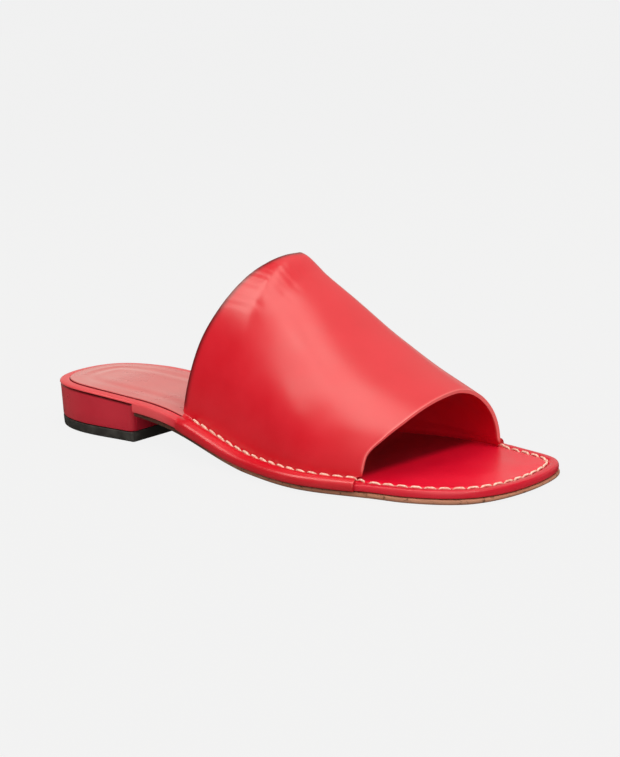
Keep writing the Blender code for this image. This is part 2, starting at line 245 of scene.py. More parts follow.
def to_millimetres(points: np.ndarray) -> np.ndarray:
    """Turn points of the CAD model's frame into x, along and z in millimetres."""
    x, y, z = np.moveaxis(np.asarray(points, dtype=float) / MM, -1, 0)
    return np.stack([x, MIDDLE - y, z], axis=-1)


class Rim:
    """The sole's outline: a smooth closed curve through its widths, with outward normals."""

    back_offset = 2.5
    tip_offset = 16.0
    length = 255.0
    samples = 40

    def __init__(self) -> None:
        """Work out both sides of the outline, from back to tip."""
        alongs = [row[0] for row in OUTLINE.rows]
        lateral = [(-row[1], row[0]) for row in OUTLINE.rows]
        medial = [(row[2], row[0]) for row in reversed(OUTLINE.rows)]
        knots = [(self.back_offset, 0.0)] + lateral + [(self.tip_offset, self.length)] + medial
        curve = self.closed_spline(np.array(knots))
        run = np.roll(curve, -1, axis=0) - np.roll(curve, 1, axis=0)
        run = run / np.linalg.norm(run, axis=1)[:, None]
        normal = np.column_stack([-run[:, 1], run[:, 0]])
        tip = self.samples * (len(alongs) + 1)
        order = np.concatenate([[0], np.arange(len(curve) - 1, tip - 1, -1)])
        self.sides = {
            Side.LATERAL: (curve[: tip + 1], normal[: tip + 1]),
            Side.MEDIAL: (curve[order], normal[order]),
        }

    def closed_spline(self, points: np.ndarray) -> np.ndarray:
        """Smooth closed curve through points.

        Args:
            points: its knots, in order.

        Returns:
            The curve's points, `samples` to each span.
        """
        count = len(points)
        after = np.roll(points, -1, axis=0)
        span = np.linalg.norm(after - points, axis=1) ** 0.75
        before = np.roll(span, 1)
        chord = (after - points) / span[:, None]
        system = np.zeros((count, count))
        for i in range(count):
            system[i, i - 1] = before[i]
            system[i, i] = 2.0 * (before[i] + span[i])
            system[i, (i + 1) % count] = span[i]
        bend = np.linalg.solve(system, 6.0 * (chord - np.roll(chord, 1, axis=0)))
        curve = []
        for i in range(count):
            here, there = bend[i], bend[(i + 1) % count]
            for t in np.arange(self.samples) / self.samples * span[i]:
                rest = span[i] - t
                arc = (here * rest**3 + there * t**3) / (6.0 * span[i])
                straight = (points[i] / span[i] - here * span[i] / 6.0) * rest
                straight = straight + (after[i] / span[i] - there * span[i] / 6.0) * t
                curve.append(arc + straight)
        return np.array(curve)

    def line(self, side: Side, offset: float, inset: bool = False) -> np.ndarray:
        """One side of the outline, moved outward.

        Args:
            side: which side.
            offset: how far outward.
            inset: whether it then lies inside by the outsole's inset.

        Returns:
            Points of x and along, from back to tip.
        """
        curve, normal = self.sides[side]
        outward = np.full(len(curve), float(offset))
        if inset:
            outward -= HEIGHTS.read("inset", curve[:, 1])
        return curve + normal * outward[:, None]

    def at(self, side: Side, along: np.ndarray, out: np.ndarray | float) -> np.ndarray:
        """Points square to the rim.

        Args:
            side: which side of the rim.
            along: place of the rim's point along the shoe.
            out: distance outside it.

        Returns:
            Points of x and along.
        """
        curve, normal = self.sides[side]
        point = [np.interp(along, curve[:, 1], curve[:, k]) for k in range(2)]
        way = [np.interp(along, curve[:, 1], normal[:, k]) for k in range(2)]
        return np.stack([point[k] + way[k] * out for k in range(2)], axis=-1)


RIM = Rim()


def respace(line: np.ndarray, steps: int) -> np.ndarray:
    """Spread steps + 1 points evenly along a line."""
    run = np.concatenate([[0.0], np.cumsum(np.linalg.norm(np.diff(line, axis=0), axis=1))])
    place = np.linspace(0.0, run[-1], steps + 1)
    return np.column_stack([np.interp(place, run, line[:, k]) for k in range(line.shape[1])])


def stretch(line: np.ndarray, start: float, end: float) -> np.ndarray:
    """Cut a line of x and along to the places between start and end."""
    cut = line[(line[:, 1] > start) & (line[:, 1] < end)]
    if start > line[0, 1]:
        cut = np.vstack([[np.interp(start, line[:, 1], line[:, 0]), start], cut])
    if end < line[-1, 1]:
        cut = np.vstack([cut, [np.interp(end, line[:, 1], line[:, 0]), end]])
    return cut


# Modelling steps ------------------------------------------------------------------------------


def deselect_all() -> None:
    """Leave nothing selected."""
    for item in bpy.context.view_layer.objects:
        item.select_set(False)


def select(piece: bpy.types.Object) -> None:
    """Make a piece the only selected one, and the active one."""
    deselect_all()
    piece.select_set(True)
    bpy.context.view_layer.objects.active = piece


def points_of(piece: bpy.types.Object) -> np.ndarray:
    """Places of a piece's vertices, in metres."""
    flat_list = np.empty(len(piece.data.vertices) * 3)
    piece.data.vertices.foreach_get("co", flat_list)
    return flat_list.reshape(-1, 3)


def move_points(piece: bpy.types.Object, points: np.ndarray) -> None:
    """Put a piece's vertices at new places, in metres."""
    piece.data.vertices.foreach_set("co", np.asarray(points, dtype=float).ravel())
    piece.data.update()


def surface(name: str, points: np.ndarray, **values: np.ndarray) -> bpy.types.Object:
    """Grid whose vertices are moved onto a surface.

    Args:
        name: the piece's name.
        points: rows of points of the surface, in metres.
        values: rows of values to paint it with, by name.

    Returns:
        The new piece, with its origin at the frame's.
    """
    rows, columns = points.shape[:2]
    deselect_all()
    bpy.ops.mesh.primitive_grid_add(x_subdivisions=columns - 1, y_subdivisions=rows - 1, size=1.0)
    piece = bpy.context.active_object
    piece.name = name
    piece.data.name = name
    place = points_of(piece)
    column = np.rint((place[:, 0] + 0.5) * (columns - 1)).astype(int)
    row = np.rint((place[:, 1] + 0.5) * (rows - 1)).astype(int)
    move_points(piece, points[row, column])
    for key, value in values.items():
        paint(piece, key, value[row, column])
    return piece


def face_outward(piece: bpy.types.Object) -> None:
    """Turn all faces of a piece the same way, outward if it is closed."""
    select(piece)
    bpy.ops.object.mode_set(mode="EDIT")
    bpy.ops.mesh.select_all(action="SELECT")
    bpy.ops.mesh.normals_make_consistent(inside=False)
    bpy.ops.object.mode_set(mode="OBJECT")


def close_up(piece: bpy.types.Object) -> None:
    """Weld a folded grid's seams, fill its open ends and turn its faces outward."""
    select(piece)
    bpy.ops.object.mode_set(mode="EDIT")
    bpy.ops.mesh.select_all(action="SELECT")
    bpy.ops.mesh.remove_doubles(threshold=WELD)
    bpy.ops.mesh.fill_holes(sides=0)
    bpy.ops.object.mode_set(mode="OBJECT")
    face_outward(piece)


def apply_modifier(piece: bpy.types.Object, kind: str, **values: object) -> None:
    """Add a modifier with the given values and apply it."""
    select(piece)
    modifier = piece.modifiers.new(kind.lower(), kind)
    for key, value in values.items():
        setattr(modifier, key, value)
    bpy.ops.object.modifier_apply(modifier=modifier.name)


def cut_away(piece: bpy.types.Object, cutter: bpy.types.Object) -> None:
    """Take the cutter's shape out of a piece, and put the cutter away."""
    apply_modifier(piece, "BOOLEAN", operation="DIFFERENCE", solver="EXACT", object=cutter)
    bpy.data.objects.remove(cutter, do_unlink=True)


def shade(piece: bpy.types.Object, angle: float = 40.0) -> None:
    """Smooth shading that keeps edges sharper than an angle, in degrees, crisp."""
    select(piece)
    bpy.ops.object.shade_smooth_by_angle(angle=math.radians(angle))


def paint(piece: bpy.types.Object, name: str, values: np.ndarray) -> None:
    """Give each vertex of a piece a value that its material reads by name."""
    layer = piece.data.attributes.get(name) or piece.data.attributes.new(name, "FLOAT", "POINT")
    layer.data.foreach_set("value", np.asarray(values, dtype=np.float32))


def painted(piece: bpy.types.Object, name: str) -> np.ndarray:
    """Values that a piece was painted with."""
    values = np.empty(len(piece.data.vertices), dtype=np.float32)
    piece.data.attributes[name].data.foreach_get("value", values)
    return values


def weigh(piece: bpy.types.Object, name: str, values: np.ndarray) -> None:
    """Give a piece a vertex group of the given weights, in steps of a hundredth."""
    group = piece.vertex_groups.new(name=name)
    steps = np.rint(values * 100.0).astype(int)
    for step in np.unique(steps):
        group.add(np.flatnonzero(steps == step).tolist(), step / 100.0, "REPLACE")


def dress(
    piece: bpy.types.Object, materials: list[bpy.types.Material], node: str | None = None
) -> None:
    """Give a piece its materials and its place in the frame.

    Args:
        piece: the piece.
        materials: its materials, in the order of its faces' indices.
        node: the CAD node that it stands for, if it does.
    """
    for material in materials:
        piece.data.materials.append(material)
    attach(piece, "root")
    if node:
        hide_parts(node)
    LOG.info("%s: %d faces", piece.name, len(piece.data.polygons))


@dataclass(frozen=True)
class Ring:
    """The rim moved outward by an offset, at a level, cut to a stretch of the length."""

    offset: float
    level: Level
    start: float = -math.inf
    end: float = math.inf
    corner: float = 0.0
    inset: bool = False

    def side(self, side: Side, stations: int) -> np.ndarray:
        """Points of one side.

        Args:
            side: which side.
            stations: how many pieces the side is divided into.

        Returns:
            Points of x, along and z, with the front corner rounded if the ring has one.
        """
        corner_steps = 10 if self.corner else 0
        line = RIM.line(side, self.offset, self.inset)
        points = respace(
            stretch(line, self.start, self.end - self.corner), stations - corner_steps
        )
        inward = 1.0 if side is Side.LATERAL else -1.0
        for i in range(1, corner_steps + 1):
            turn = math.radians(90.0) * i / corner_steps
            along = self.end - self.corner * (1.0 - math.sin(turn))
            x = np.interp(along, line[:, 1], line[:, 0])
            x += inward * self.corner * (1.0 - math.cos(turn))
            points = np.vstack([points, [x, along]])
        return np.column_stack([points, self.level(points[:, 1])])


@dataclass(frozen=True)
class Layer:
    """Closed solid lofted through rings of the rim, from its bottom to its top."""

    name: str
    rings: tuple[Ring, ...]
    stations: int = 120
    across: int = 8

    def build(
        self, relief: Callable[[Side, float, np.ndarray], np.ndarray] | None = None
    ) -> bpy.types.Object:
        """Loft the solid.

        Args:
            relief: rise to add at each point, from its side, its ring's offset and its places.

        Returns:
            The new piece.
        """
        sides = {side: [ring.side(side, self.stations) for ring in self.rings] for side in Side}
        if relief:
            for side, lines in sides.items():
                for ring, line in zip(self.rings, lines):
                    line[:, 2] += relief(side, ring.offset, line[:, 1])
        lateral, medial = sides[Side.LATERAL], sides[Side.MEDIAL]
        top = self.bridge(lateral[-1], medial[-1], self.rings[-1].level)
        bottom = self.bridge(medial[0], lateral[0], self.rings[0].level)
        columns = lateral + top + medial[::-1] + bottom + lateral[:1]
        piece = surface(self.name, to_metres(np.stack(columns, axis=1)))
        close_up(piece)
        return piece

    def bridge(self, start: np.ndarray, end: np.ndarray, level: Level) -> list[np.ndarray]:
        """Lines that lie between the two sides of a ring.

        Args:
            start: the side to leave.
            end: the side to reach.
            level: height of the face between them.

        Returns:
            The lines in between, without the two sides.
        """
        lines = []
        for share in np.arange(1, self.across) / self.across:
            line = start + (end - start) * share
            base = start[:, 2] - level(start[:, 1])
            reached = end[:, 2] - level(end[:, 1])
            line[:, 2] = level(line[:, 1]) + base * (1.0 - share) + reached * share
            lines.append(line)
        return lines


# Finishes -------------------------------------------------------------------------------------


class Bench:
    """A node tree, with short calls that add and join its nodes."""

    def __init__(self, tree: bpy.types.NodeTree) -> None:
        """Take the tree to work on."""
        self.tree = tree

    def add(self, kind: str, settings: dict | None = None, **inputs: object) -> bpy.types.Node:
        """Add a node.

        Args:
            kind: the node's type, without its leading ShaderNode.
            settings: its own properties.
            inputs: its sockets by name, with spaces as underscores: a value or a socket to join.

        Returns:
            The new node.
        """
        node = self.tree.nodes.new("ShaderNode" + kind)
        for key, value in (settings or {}).items():
            setattr(node, key, value)
        for key, value in inputs.items():
            self.feed(node.inputs[key.replace("_", " ")], value)
        return node

    def feed(self, socket: bpy.types.NodeSocket, value: object) -> None:
        """Set a socket to a value, or join another socket to it."""
        if isinstance(value, bpy.types.NodeSocket):
            self.tree.links.new(value, socket)
        elif isinstance(value, tuple) and len(value) == 3 and socket.type == "RGBA":
            socket.default_value = (*value, 1.0)
        else:
            socket.default_value = value

    def maths(self, operation: str, first: object, second: object = 0.5) -> bpy.types.NodeSocket:
        """Result of a Math node on two values or sockets."""
        node = self.tree.nodes.new("ShaderNodeMath")
        node.operation = operation
        self.feed(node.inputs[0], first)
        self.feed(node.inputs[1], second)
        return node.outputs[0]

    def ranged(
        self, value: bpy.types.NodeSocket, low: float, high: float, to_low: float = 0.0, to_high: float = 1.0
    ) -> bpy.types.NodeSocket:
        """Value moved from one range to another, and kept inside it."""
        node = self.add("MapRange", Value=value)
        for name, number in zip(("From Min", "From Max", "To Min", "To Max"), (low, high, to_low, to_high)):
            node.inputs[name].default_value = number
        return node.outputs[0]

    def blend(self, share: object, first: object, second: object, mode: str = "MIX") -> bpy.types.NodeSocket:
        """Colour between two colours, at a share."""
        node = self.tree.nodes.new("ShaderNodeMix")
        node.data_type = "RGBA"
        node.blend_type = mode
        self.feed(node.inputs[0], share)
        self.feed(node.inputs[6], first)
        self.feed(node.inputs[7], second)
        return node.outputs[2]

    def place(self) -> bpy.types.NodeSocket:
        """Place on the object, in metres."""
        return self.add("TexCoord").outputs["Object"]

    def noise(
        self, place: bpy.types.NodeSocket, per_metre: object, detail: float = 3.0
    ) -> bpy.types.NodeSocket:
        """Noise of so many waves per metre, at a place."""
        node = self.add("TexNoise", Vector=place, Scale=per_metre, Detail=detail)
        return node.outputs[0]

    def painted(self, name: str) -> bpy.types.NodeSocket:
        """Value that the mesh was painted with."""
        return self.add("Attribute", {"attribute_name": name}).outputs["Fac"]

    def finish(
        self, shader: bpy.types.Node, colour: object, rough: object, height: object, depth: float
    ) -> None:
        """Give a shader its colour, its roughness and bumps of a depth in millimetres."""
        self.feed(shader.inputs["Base Color"], colour)
        self.feed(shader.inputs["Roughness"], rough)
        bump = self.add("Bump", Height=height, Strength=1.0, Distance=depth * MM)
        self.feed(shader.inputs["Normal"], bump.outputs[0])

    def give(self, **outputs: bpy.types.NodeSocket) -> None:
        """Join sockets to the named outputs of the group."""
        back = self.tree.nodes.new("NodeGroupOutput")
        for key, value in outputs.items():
            self.feed(back.inputs[key], value)


def new_group(
    name: str, inputs: dict[str, float], outputs: tuple[str, ...]
) -> tuple[bpy.types.NodeTree, Bench]:
    """Shader node group with named number sockets.

    Args:
        name: the group's name.
        inputs: its inputs, with their usual values.
        outputs: its outputs.

    Returns:
        The group and a bench to build it on.
    """
    group = bpy.data.node_groups.new(name, "ShaderNodeTree")
    for key, value in inputs.items():
        socket = group.interface.new_socket(key, in_out="INPUT", socket_type="NodeSocketFloat")
        socket.default_value = value
    for key in outputs:
        group.interface.new_socket(key, in_out="OUTPUT", socket_type="NodeSocketFloat")
    return group, Bench(group)


class Effects:
    """Node groups that several finishes share."""

    def __init__(self) -> None:
        """Build the groups once."""
        self.grain = self.build_grain()
        self.fibre = self.build_fibre()

    def build_grain(self) -> bpy.types.NodeTree:
        """Fine pebbled grain of calf leather, with its slow changes of tone."""
        group, bench = new_group(
            "leather_grain", {"Cells": 2200.0, "Patches": 60.0}, ("Height", "Tone", "Gloss")
        )
        given = bench.tree.nodes.new("NodeGroupInput")
        place = bench.place()
        cells = bench.add(
            "TexVoronoi", {"feature": "SMOOTH_F1"}, Vector=place, Scale=given.outputs["Cells"]
        )
        pores = bench.noise(place, given.outputs["Cells"], 4.0)
        height = bench.maths("ADD", cells.outputs["Distance"], pores)
        height = bench.maths("ADD", height, bench.maths("MULTIPLY", bench.noise(place, 420.0, 2.0), 1.2))
        patches = bench.noise(place, given.outputs["Patches"], 5.0)
        slow = bench.maths("MULTIPLY", patches, 0.75)
        specks = bench.maths("MULTIPLY", bench.noise(place, 1500.0), 0.25)
        bench.give(Height=height, Tone=bench.maths("ADD", slow, specks), Gloss=patches)
        return group

    def build_fibre(self) -> bpy.types.NodeTree:
        """Long streaks that follow the sole's edge, with darker specks."""
        group, bench = new_group(
            "leather_fibre", {"Streaks": 160.0, "Flatness": 9.0}, ("Height", "Tone", "Specks")
        )
        given = bench.tree.nodes.new("NodeGroupInput")
        place = bench.place()
        squeezed = bench.add("SeparateXYZ", Vector=place)
        tall = bench.maths("MULTIPLY", squeezed.outputs["Z"], given.outputs["Flatness"])
        stretched = bench.add("CombineXYZ", X=squeezed.outputs["X"], Y=squeezed.outputs["Y"], Z=tall)
        streaks = bench.noise(stretched.outputs[0], given.outputs["Streaks"], 5.0)
        height = bench.maths("ADD", streaks, bench.noise(place, 1300.0, 4.0))
        specks = bench.ranged(bench.noise(place, 520.0, 2.0), 0.58, 0.70)
        bench.give(Height=height, Tone=streaks, Specks=specks)
        return group


EFFECTS = Effects()


def new_material(name: str) -> tuple[bpy.types.Material, bpy.types.Node, Bench]:
    """Material with a plain Principled shader.

    Args:
        name: the material's name.

    Returns:
        The material, its shader and a bench to work on.
    """
    material = bpy.data.materials.new(name)
    material.use_nodes = True
    return material, material.node_tree.nodes["Principled BSDF"], Bench(material.node_tree)


@dataclass(frozen=True)
class Leather:
    """Dyed leather: its colours, gloss and grain, with the colours of its painted shade and painted sheen."""

    name: str
    colour: Colour
    deep: Colour
    # Colour painted where shade falls: in holes, furrows, grooves and hollows.
    painted_shade: Colour
    # Lighter colour painted as a highlight or sheen.
    worn: Colour = (0.88, 0.17, 0.18)
    roughness: float = 0.42
    specular: float = 0.5
    coat: float = 0.0
    coat_roughness: float = 0.2
    cells: float = 2200.0
    patches: float = 60.0
    grain: float = 0.012
    uneven: float = 0.06

    def material(self) -> bpy.types.Material:
        """Make the material."""
        material, shader, bench = new_material(self.name)
        grain = bench.add("Group", {"node_tree": EFFECTS.grain}, Cells=self.cells, Patches=self.patches)
        tone = bench.ranged(grain.outputs["Tone"], 0.35, 0.65)
        colour = bench.blend(tone, self.deep, self.colour)
        # Painted shade, then painted sheen, over the leather's own colour.
        colour = bench.blend(bench.painted("painted_shade"), colour, self.painted_shade)
        colour = bench.blend(bench.painted("worn"), colour, self.worn)
        rough = bench.ranged(
            grain.outputs["Gloss"], 0.3, 0.7, self.roughness - self.uneven, self.roughness + self.uneven
        )
        bench.finish(shader, colour, rough, grain.outputs["Height"], self.grain)
        shader.inputs["Specular IOR Level"].default_value = self.specular
        shader.inputs["Coat Weight"].default_value = self.coat
        shader.inputs["Coat Roughness"].default_value = self.coat_roughness
        return material


@dataclass(frozen=True)
class RawEdge:
    """Bare sole leather, seen at its cut edge."""

    name: str
    colour: Colour
    streak: Colour
    speck: Colour
    shadow: Colour
    roughness: float = 0.62

    def material(self) -> bpy.types.Material:
        """Make the material."""
        material, shader, bench = new_material(self.name)
        fibre = bench.add("Group", {"node_tree": EFFECTS.fibre}, Streaks=160.0, Flatness=9.0)
        colour = bench.blend(bench.ranged(fibre.outputs["Tone"], 0.35, 0.65), self.streak, self.colour)
        colour = bench.blend(fibre.outputs["Specks"], colour, self.speck)
        # The painted values darken the edge toward its shadow colour.
        colour = bench.blend(bench.painted("painted_shade"), colour, self.shadow)
        rough = bench.ranged(fibre.outputs["Tone"], 0.3, 0.7, self.roughness - 0.1, self.roughness + 0.1)
        bench.finish(shader, colour, rough, fibre.outputs["Height"], 0.04)
        return material


@dataclass(frozen=True)
class Rubber:
    """Moulded rubber with a fine matt texture."""

    name: str
    colour: Colour
    dusty: Colour
    roughness: float = 0.55

    def material(self) -> bpy.types.Material:
        """Make the material."""
        material, shader, bench = new_material(self.name)
        place = bench.place()
        dust = bench.ranged(bench.noise(place, 220.0, 6.0), 0.42, 0.68)
        rough = bench.ranged(dust, 0.0, 1.0, self.roughness, self.roughness + 0.15)
        colour = bench.blend(dust, self.colour, self.dusty)
        bench.finish(shader, colour, rough, bench.noise(place, 1800.0), 0.05)
        return material


@dataclass(frozen=True)
class Thread:
    """Waxed sewing thread."""

    name: str
    colour: Colour
    dark: Colour
    roughness: float = 0.5

    def material(self) -> bpy.types.Material:
        """Make the material."""
        material, shader, bench = new_material(self.name)
        place = bench.place()
        tone = bench.ranged(bench.noise(place, 900.0, 4.0), 0.35, 0.65)
        colour = bench.blend(tone, self.dark, self.colour)
        # Painted shade darkens the thread toward its dark colour.
        colour = bench.blend(bench.painted("painted_shade"), colour, self.dark)
        rough = bench.ranged(tone, 0.0, 1.0, self.roughness + 0.1, self.roughness)
        bench.finish(shader, colour, rough, bench.noise(place, 6000.0), 0.03)
        return material


RED = (0.69, 0.001, 0.017)
UPPER_LEATHER = Leather(
    "red_calf", RED, (0.65, 0.001, 0.014), (0.10, 0.001, 0.003), roughness=0.32, specular=1.0,
    grain=0.010, uneven=0.04,
)
# Near black, as painted shade on the lining inside the arch.
PAINTED_SHADE_LINING = Leather(
    "red_lining_painted_shade", (0.08, 0.001, 0.004), (0.06, 0.001, 0.003), (0.10, 0.001, 0.003), roughness=0.55
)
# Its lighter colour is the painted highlight along the upper's front edge.
EDGE_LEATHER = Leather(
    "red_edge_paint", (0.55, 0.012, 0.025), (0.48, 0.009, 0.020), (0.20, 0.003, 0.008),
    worn=(0.62, 0.022, 0.034), roughness=0.42,
)
# Base colour brighter than the upper's, as painted light on the footbed in front of the arch.
RIM_LEATHER = Leather(
    "red_wrap", (0.82, 0.003, 0.034), (0.77, 0.002, 0.028), (0.08, 0.001, 0.004), roughness=0.36,
    specular=0.70,
)
SOCK_LEATHER = Leather(
    "red_sock", (0.77, 0.175, 0.185), (0.70, 0.150, 0.162), (0.16, 0.002, 0.006), roughness=0.30,
    coat=0.7, coat_roughness=0.18,
)
HEEL_LEATHER = Leather(
    "dark_red_cover", (0.55, 0.016, 0.040), (0.47, 0.012, 0.031), (0.08, 0.001, 0.003),
    roughness=0.30, patches=35.0,
)
SOLE_EDGE = RawEdge(
    "tan_sole", (0.50, 0.22, 0.14), (0.40, 0.165, 0.10), (0.14, 0.05, 0.022), (0.05, 0.015, 0.009)
)
LIFT_RUBBER = Rubber("black_rubber", (0.030, 0.028, 0.027), (0.055, 0.052, 0.050))
CREAM_THREAD = Thread("cream_thread", (0.99, 0.74, 0.65), (0.74, 0.36, 0.29))


# Stitching ------------------------------------------------------------------------------------


@dataclass(frozen=True)
class Stitch:
    """One stitch from hole to hole, with the direction that it stands up in."""

    start: np.ndarray
    end: np.ndarray
    up: np.ndarray


@dataclass(frozen=True)
class Seam:
    """A row of stitches along a path."""

    name: str
    stitches: tuple[Stitch, ...]

    THREAD_RADIUS = 0.55
    FURROW_WIDTH = 0.75
    HOLE_WIDTH = 0.65
    PUCKER_WIDTH = 2.1

    @classmethod
    def along(cls, name: str, path: np.ndarray, up: np.ndarray, pitch: float, slant: float) -> "Seam":
        """Divide a path into stitches of nearly equal length.

        Args:
            name: the seam's name.
            path: points of x, along and z, in millimetres.
            up: the direction that the stitches stand up in, at each point.
            pitch: the usual length from hole to hole.
            slant: how far each stitch's ends lie to either side of the path.

        Returns:
            The seam.
        """
        length = np.linalg.norm(np.diff(path, axis=0), axis=1).sum()
        count = round(length / pitch)
        spaced = respace(np.column_stack([path, up]), count)
        stitches = []
        for here, there in zip(spaced, spaced[1:]):
            rise = (here[3:] + there[3:]) / 2.0
            rise = rise / np.linalg.norm(rise)
            run = there[:3] - here[:3]
            sideways = np.cross(rise, run / np.linalg.norm(run))
            stitches.append(Stitch(here[:3] + sideways * slant, there[:3] - sideways * slant, rise))
        return cls(name, tuple(stitches))

    def holes(self) -> np.ndarray:
        """Places of the needle holes, one between each pair of stitches and one at each end."""
        ends = [self.stitches[0].start]
        for one, other in zip(self.stitches, self.stitches[1:]):
            ends.append((one.end + other.start) / 2.0)
        ends.append(self.stitches[-1].end)
        return np.array(ends)

    def press(
        self, points: np.ndarray, bed: float, hole: float, pucker: float
    ) -> tuple[np.ndarray, np.ndarray]:
        """Pull leather down under the stitches and into their holes.

        Args:
            points: points of the leather's face, in millimetres.
            bed: depth of the furrow under a stitch.
            hole: depth of a needle hole.
            pucker: depth of the soft hollow round a hole.

        Returns:
            The moved points, and how deep in a hole or a furrow each one lies, from 0 to 1, which is painted
            as shade.
        """
        moved = points.copy()
        painted_shade = np.zeros(len(points))
        for stitch in self.stitches:
            run = stitch.end - stitch.start
            length = np.linalg.norm(run)
            near = np.linalg.norm(points - (stitch.start + stitch.end) / 2.0, axis=1) < length + 4.0
            local = points[near]
            share = np.clip((local - stitch.start) @ run / length**2, 0.0, 1.0)
            away = np.linalg.norm(local - stitch.start - share[:, None] * run, axis=1)
            furrow = bell(away, 0.0, self.FURROW_WIDTH)
            moved[near] -= stitch.up * (bed * furrow)[:, None]
            # Painted shade in the furrow under a stitch.
            painted_shade[near] = np.maximum(painted_shade[near], 0.35 * bell(away, 0.0, 0.6))
        up = np.array([self.stitches[0].up] + [stitch.up for stitch in self.stitches])
        for place, rise in zip(self.holes(), up):
            away = np.linalg.norm(points - place, axis=1)
            depth = hole * bell(away, 0.0, self.HOLE_WIDTH) + pucker * bell(away, 0.0, self.PUCKER_WIDTH)
            moved -= rise * depth[:, None]
            # Painted shade in and round each needle hole.
            painted_shade = np.maximum(painted_shade, bell(away, 0.0, 0.62))
        return moved, painted_shade

    def build(self) -> bpy.types.Object:
        """Sew the row: one thread stitch is modelled, and copied from hole to hole."""
        deselect_all()
        bpy.ops.mesh.primitive_uv_sphere_add(segments=12, ring_count=16, radius=1.0)
        master = bpy.context.active_object
        shape = points_of(master)
        copies = []
        for i, stitch in enumerate(self.stitches):
            copy = master.copy()
            copy.data = master.data.copy()
            bpy.context.scene.collection.objects.link(copy)
            place, painted_shade = self.lay_thread(shape, stitch, i)
            move_points(copy, to_metres(place))
            paint(copy, "painted_shade", painted_shade)
            copies.append(copy)
        bpy.data.objects.remove(master, do_unlink=True)
        deselect_all()
        for copy in copies:
            copy.select_set(True)
        bpy.context.view_layer.objects.active = copies[0]
        bpy.ops.object.join()
        seam = bpy.context.active_object
        seam.name = self.name
        seam.data.name = self.name
        face_outward(seam)
        bpy.ops.object.shade_smooth()
        return seam

    def lay_thread(self, shape: np.ndarray, stitch: Stitch, number: int) -> tuple[np.ndarray, np.ndarray]:
        """Bend a ball into a plump stitch that dives into its holes.

        Args:
            shape: the ball's points, with its poles along Z.
            stitch: where it lies.
            number: which stitch of its row it is, which varies its shape a little.

        Returns:
            The thread's points in millimetres, and the shade painted on each, darker toward a groove or a
            hole.
        """
        run = stitch.end - stitch.start
        length = np.linalg.norm(run)
        ahead = run / length
        sideways = np.cross(stitch.up, ahead)
        run_share = np.clip(np.arcsin(np.clip(shape[:, 2], -1.0, 1.0)) / (math.pi / 2.0), -1.0, 1.0)
        turn = np.arctan2(shape[:, 1], shape[:, 0])
        plump = 1.0 + 0.06 * math.sin(2.4 * number)
        girth = self.THREAD_RADIUS * plump * np.clip(1.0 - np.abs(run_share) ** 5.0, 0.0, 1.0) ** 0.5
        plies = 1.0 + 0.05 * np.cos(2.0 * turn + 5.5 * run_share)
        height = 0.40 - 1.20 * np.abs(run_share) ** 3.6
        wide = girth * plies * np.cos(turn)
        tall = girth * plies * np.sin(turn) * 0.85 + height
        points = (stitch.start + stitch.end) / 2.0 + np.outer(run_share * length * 0.49, ahead)
        points = points + np.outer(wide, sideways) + np.outer(tall, stitch.up)
        # Painted shade where the thread dives into its holes and in its ply grooves.
        painted_shade = np.maximum(smooth_step(np.abs(run_share), 0.84, 1.0), 0.25 * smooth_step(-plies, -0.98, -0.95))
        return points, painted_shade


# Sub-assemblies -------------------------------------------------------------------------------


@dataclass(frozen=True)
class Crease:
    """Soft line in the upper: a trough if its height is negative, and a ridge if not.

    It lies at an angle round the foot and runs from start to end, measured from the back
    edge; it leans by so many degrees for each millimetre, and fades out at both ends.
    """

    angle: float
    start: float
    end: float
    lean: float
    width: float
    height: float
    fade: float = 3.0


def crease_ends(side: Side) -> tuple[float, float]:
    """Back and front ends of the crease between the upper's arch and its foot."""
    angle = 0.0 if side is Side.LATERAL else 180.0
    return float(EDGES.read("back", angle)), float(EDGES.read("front", angle))


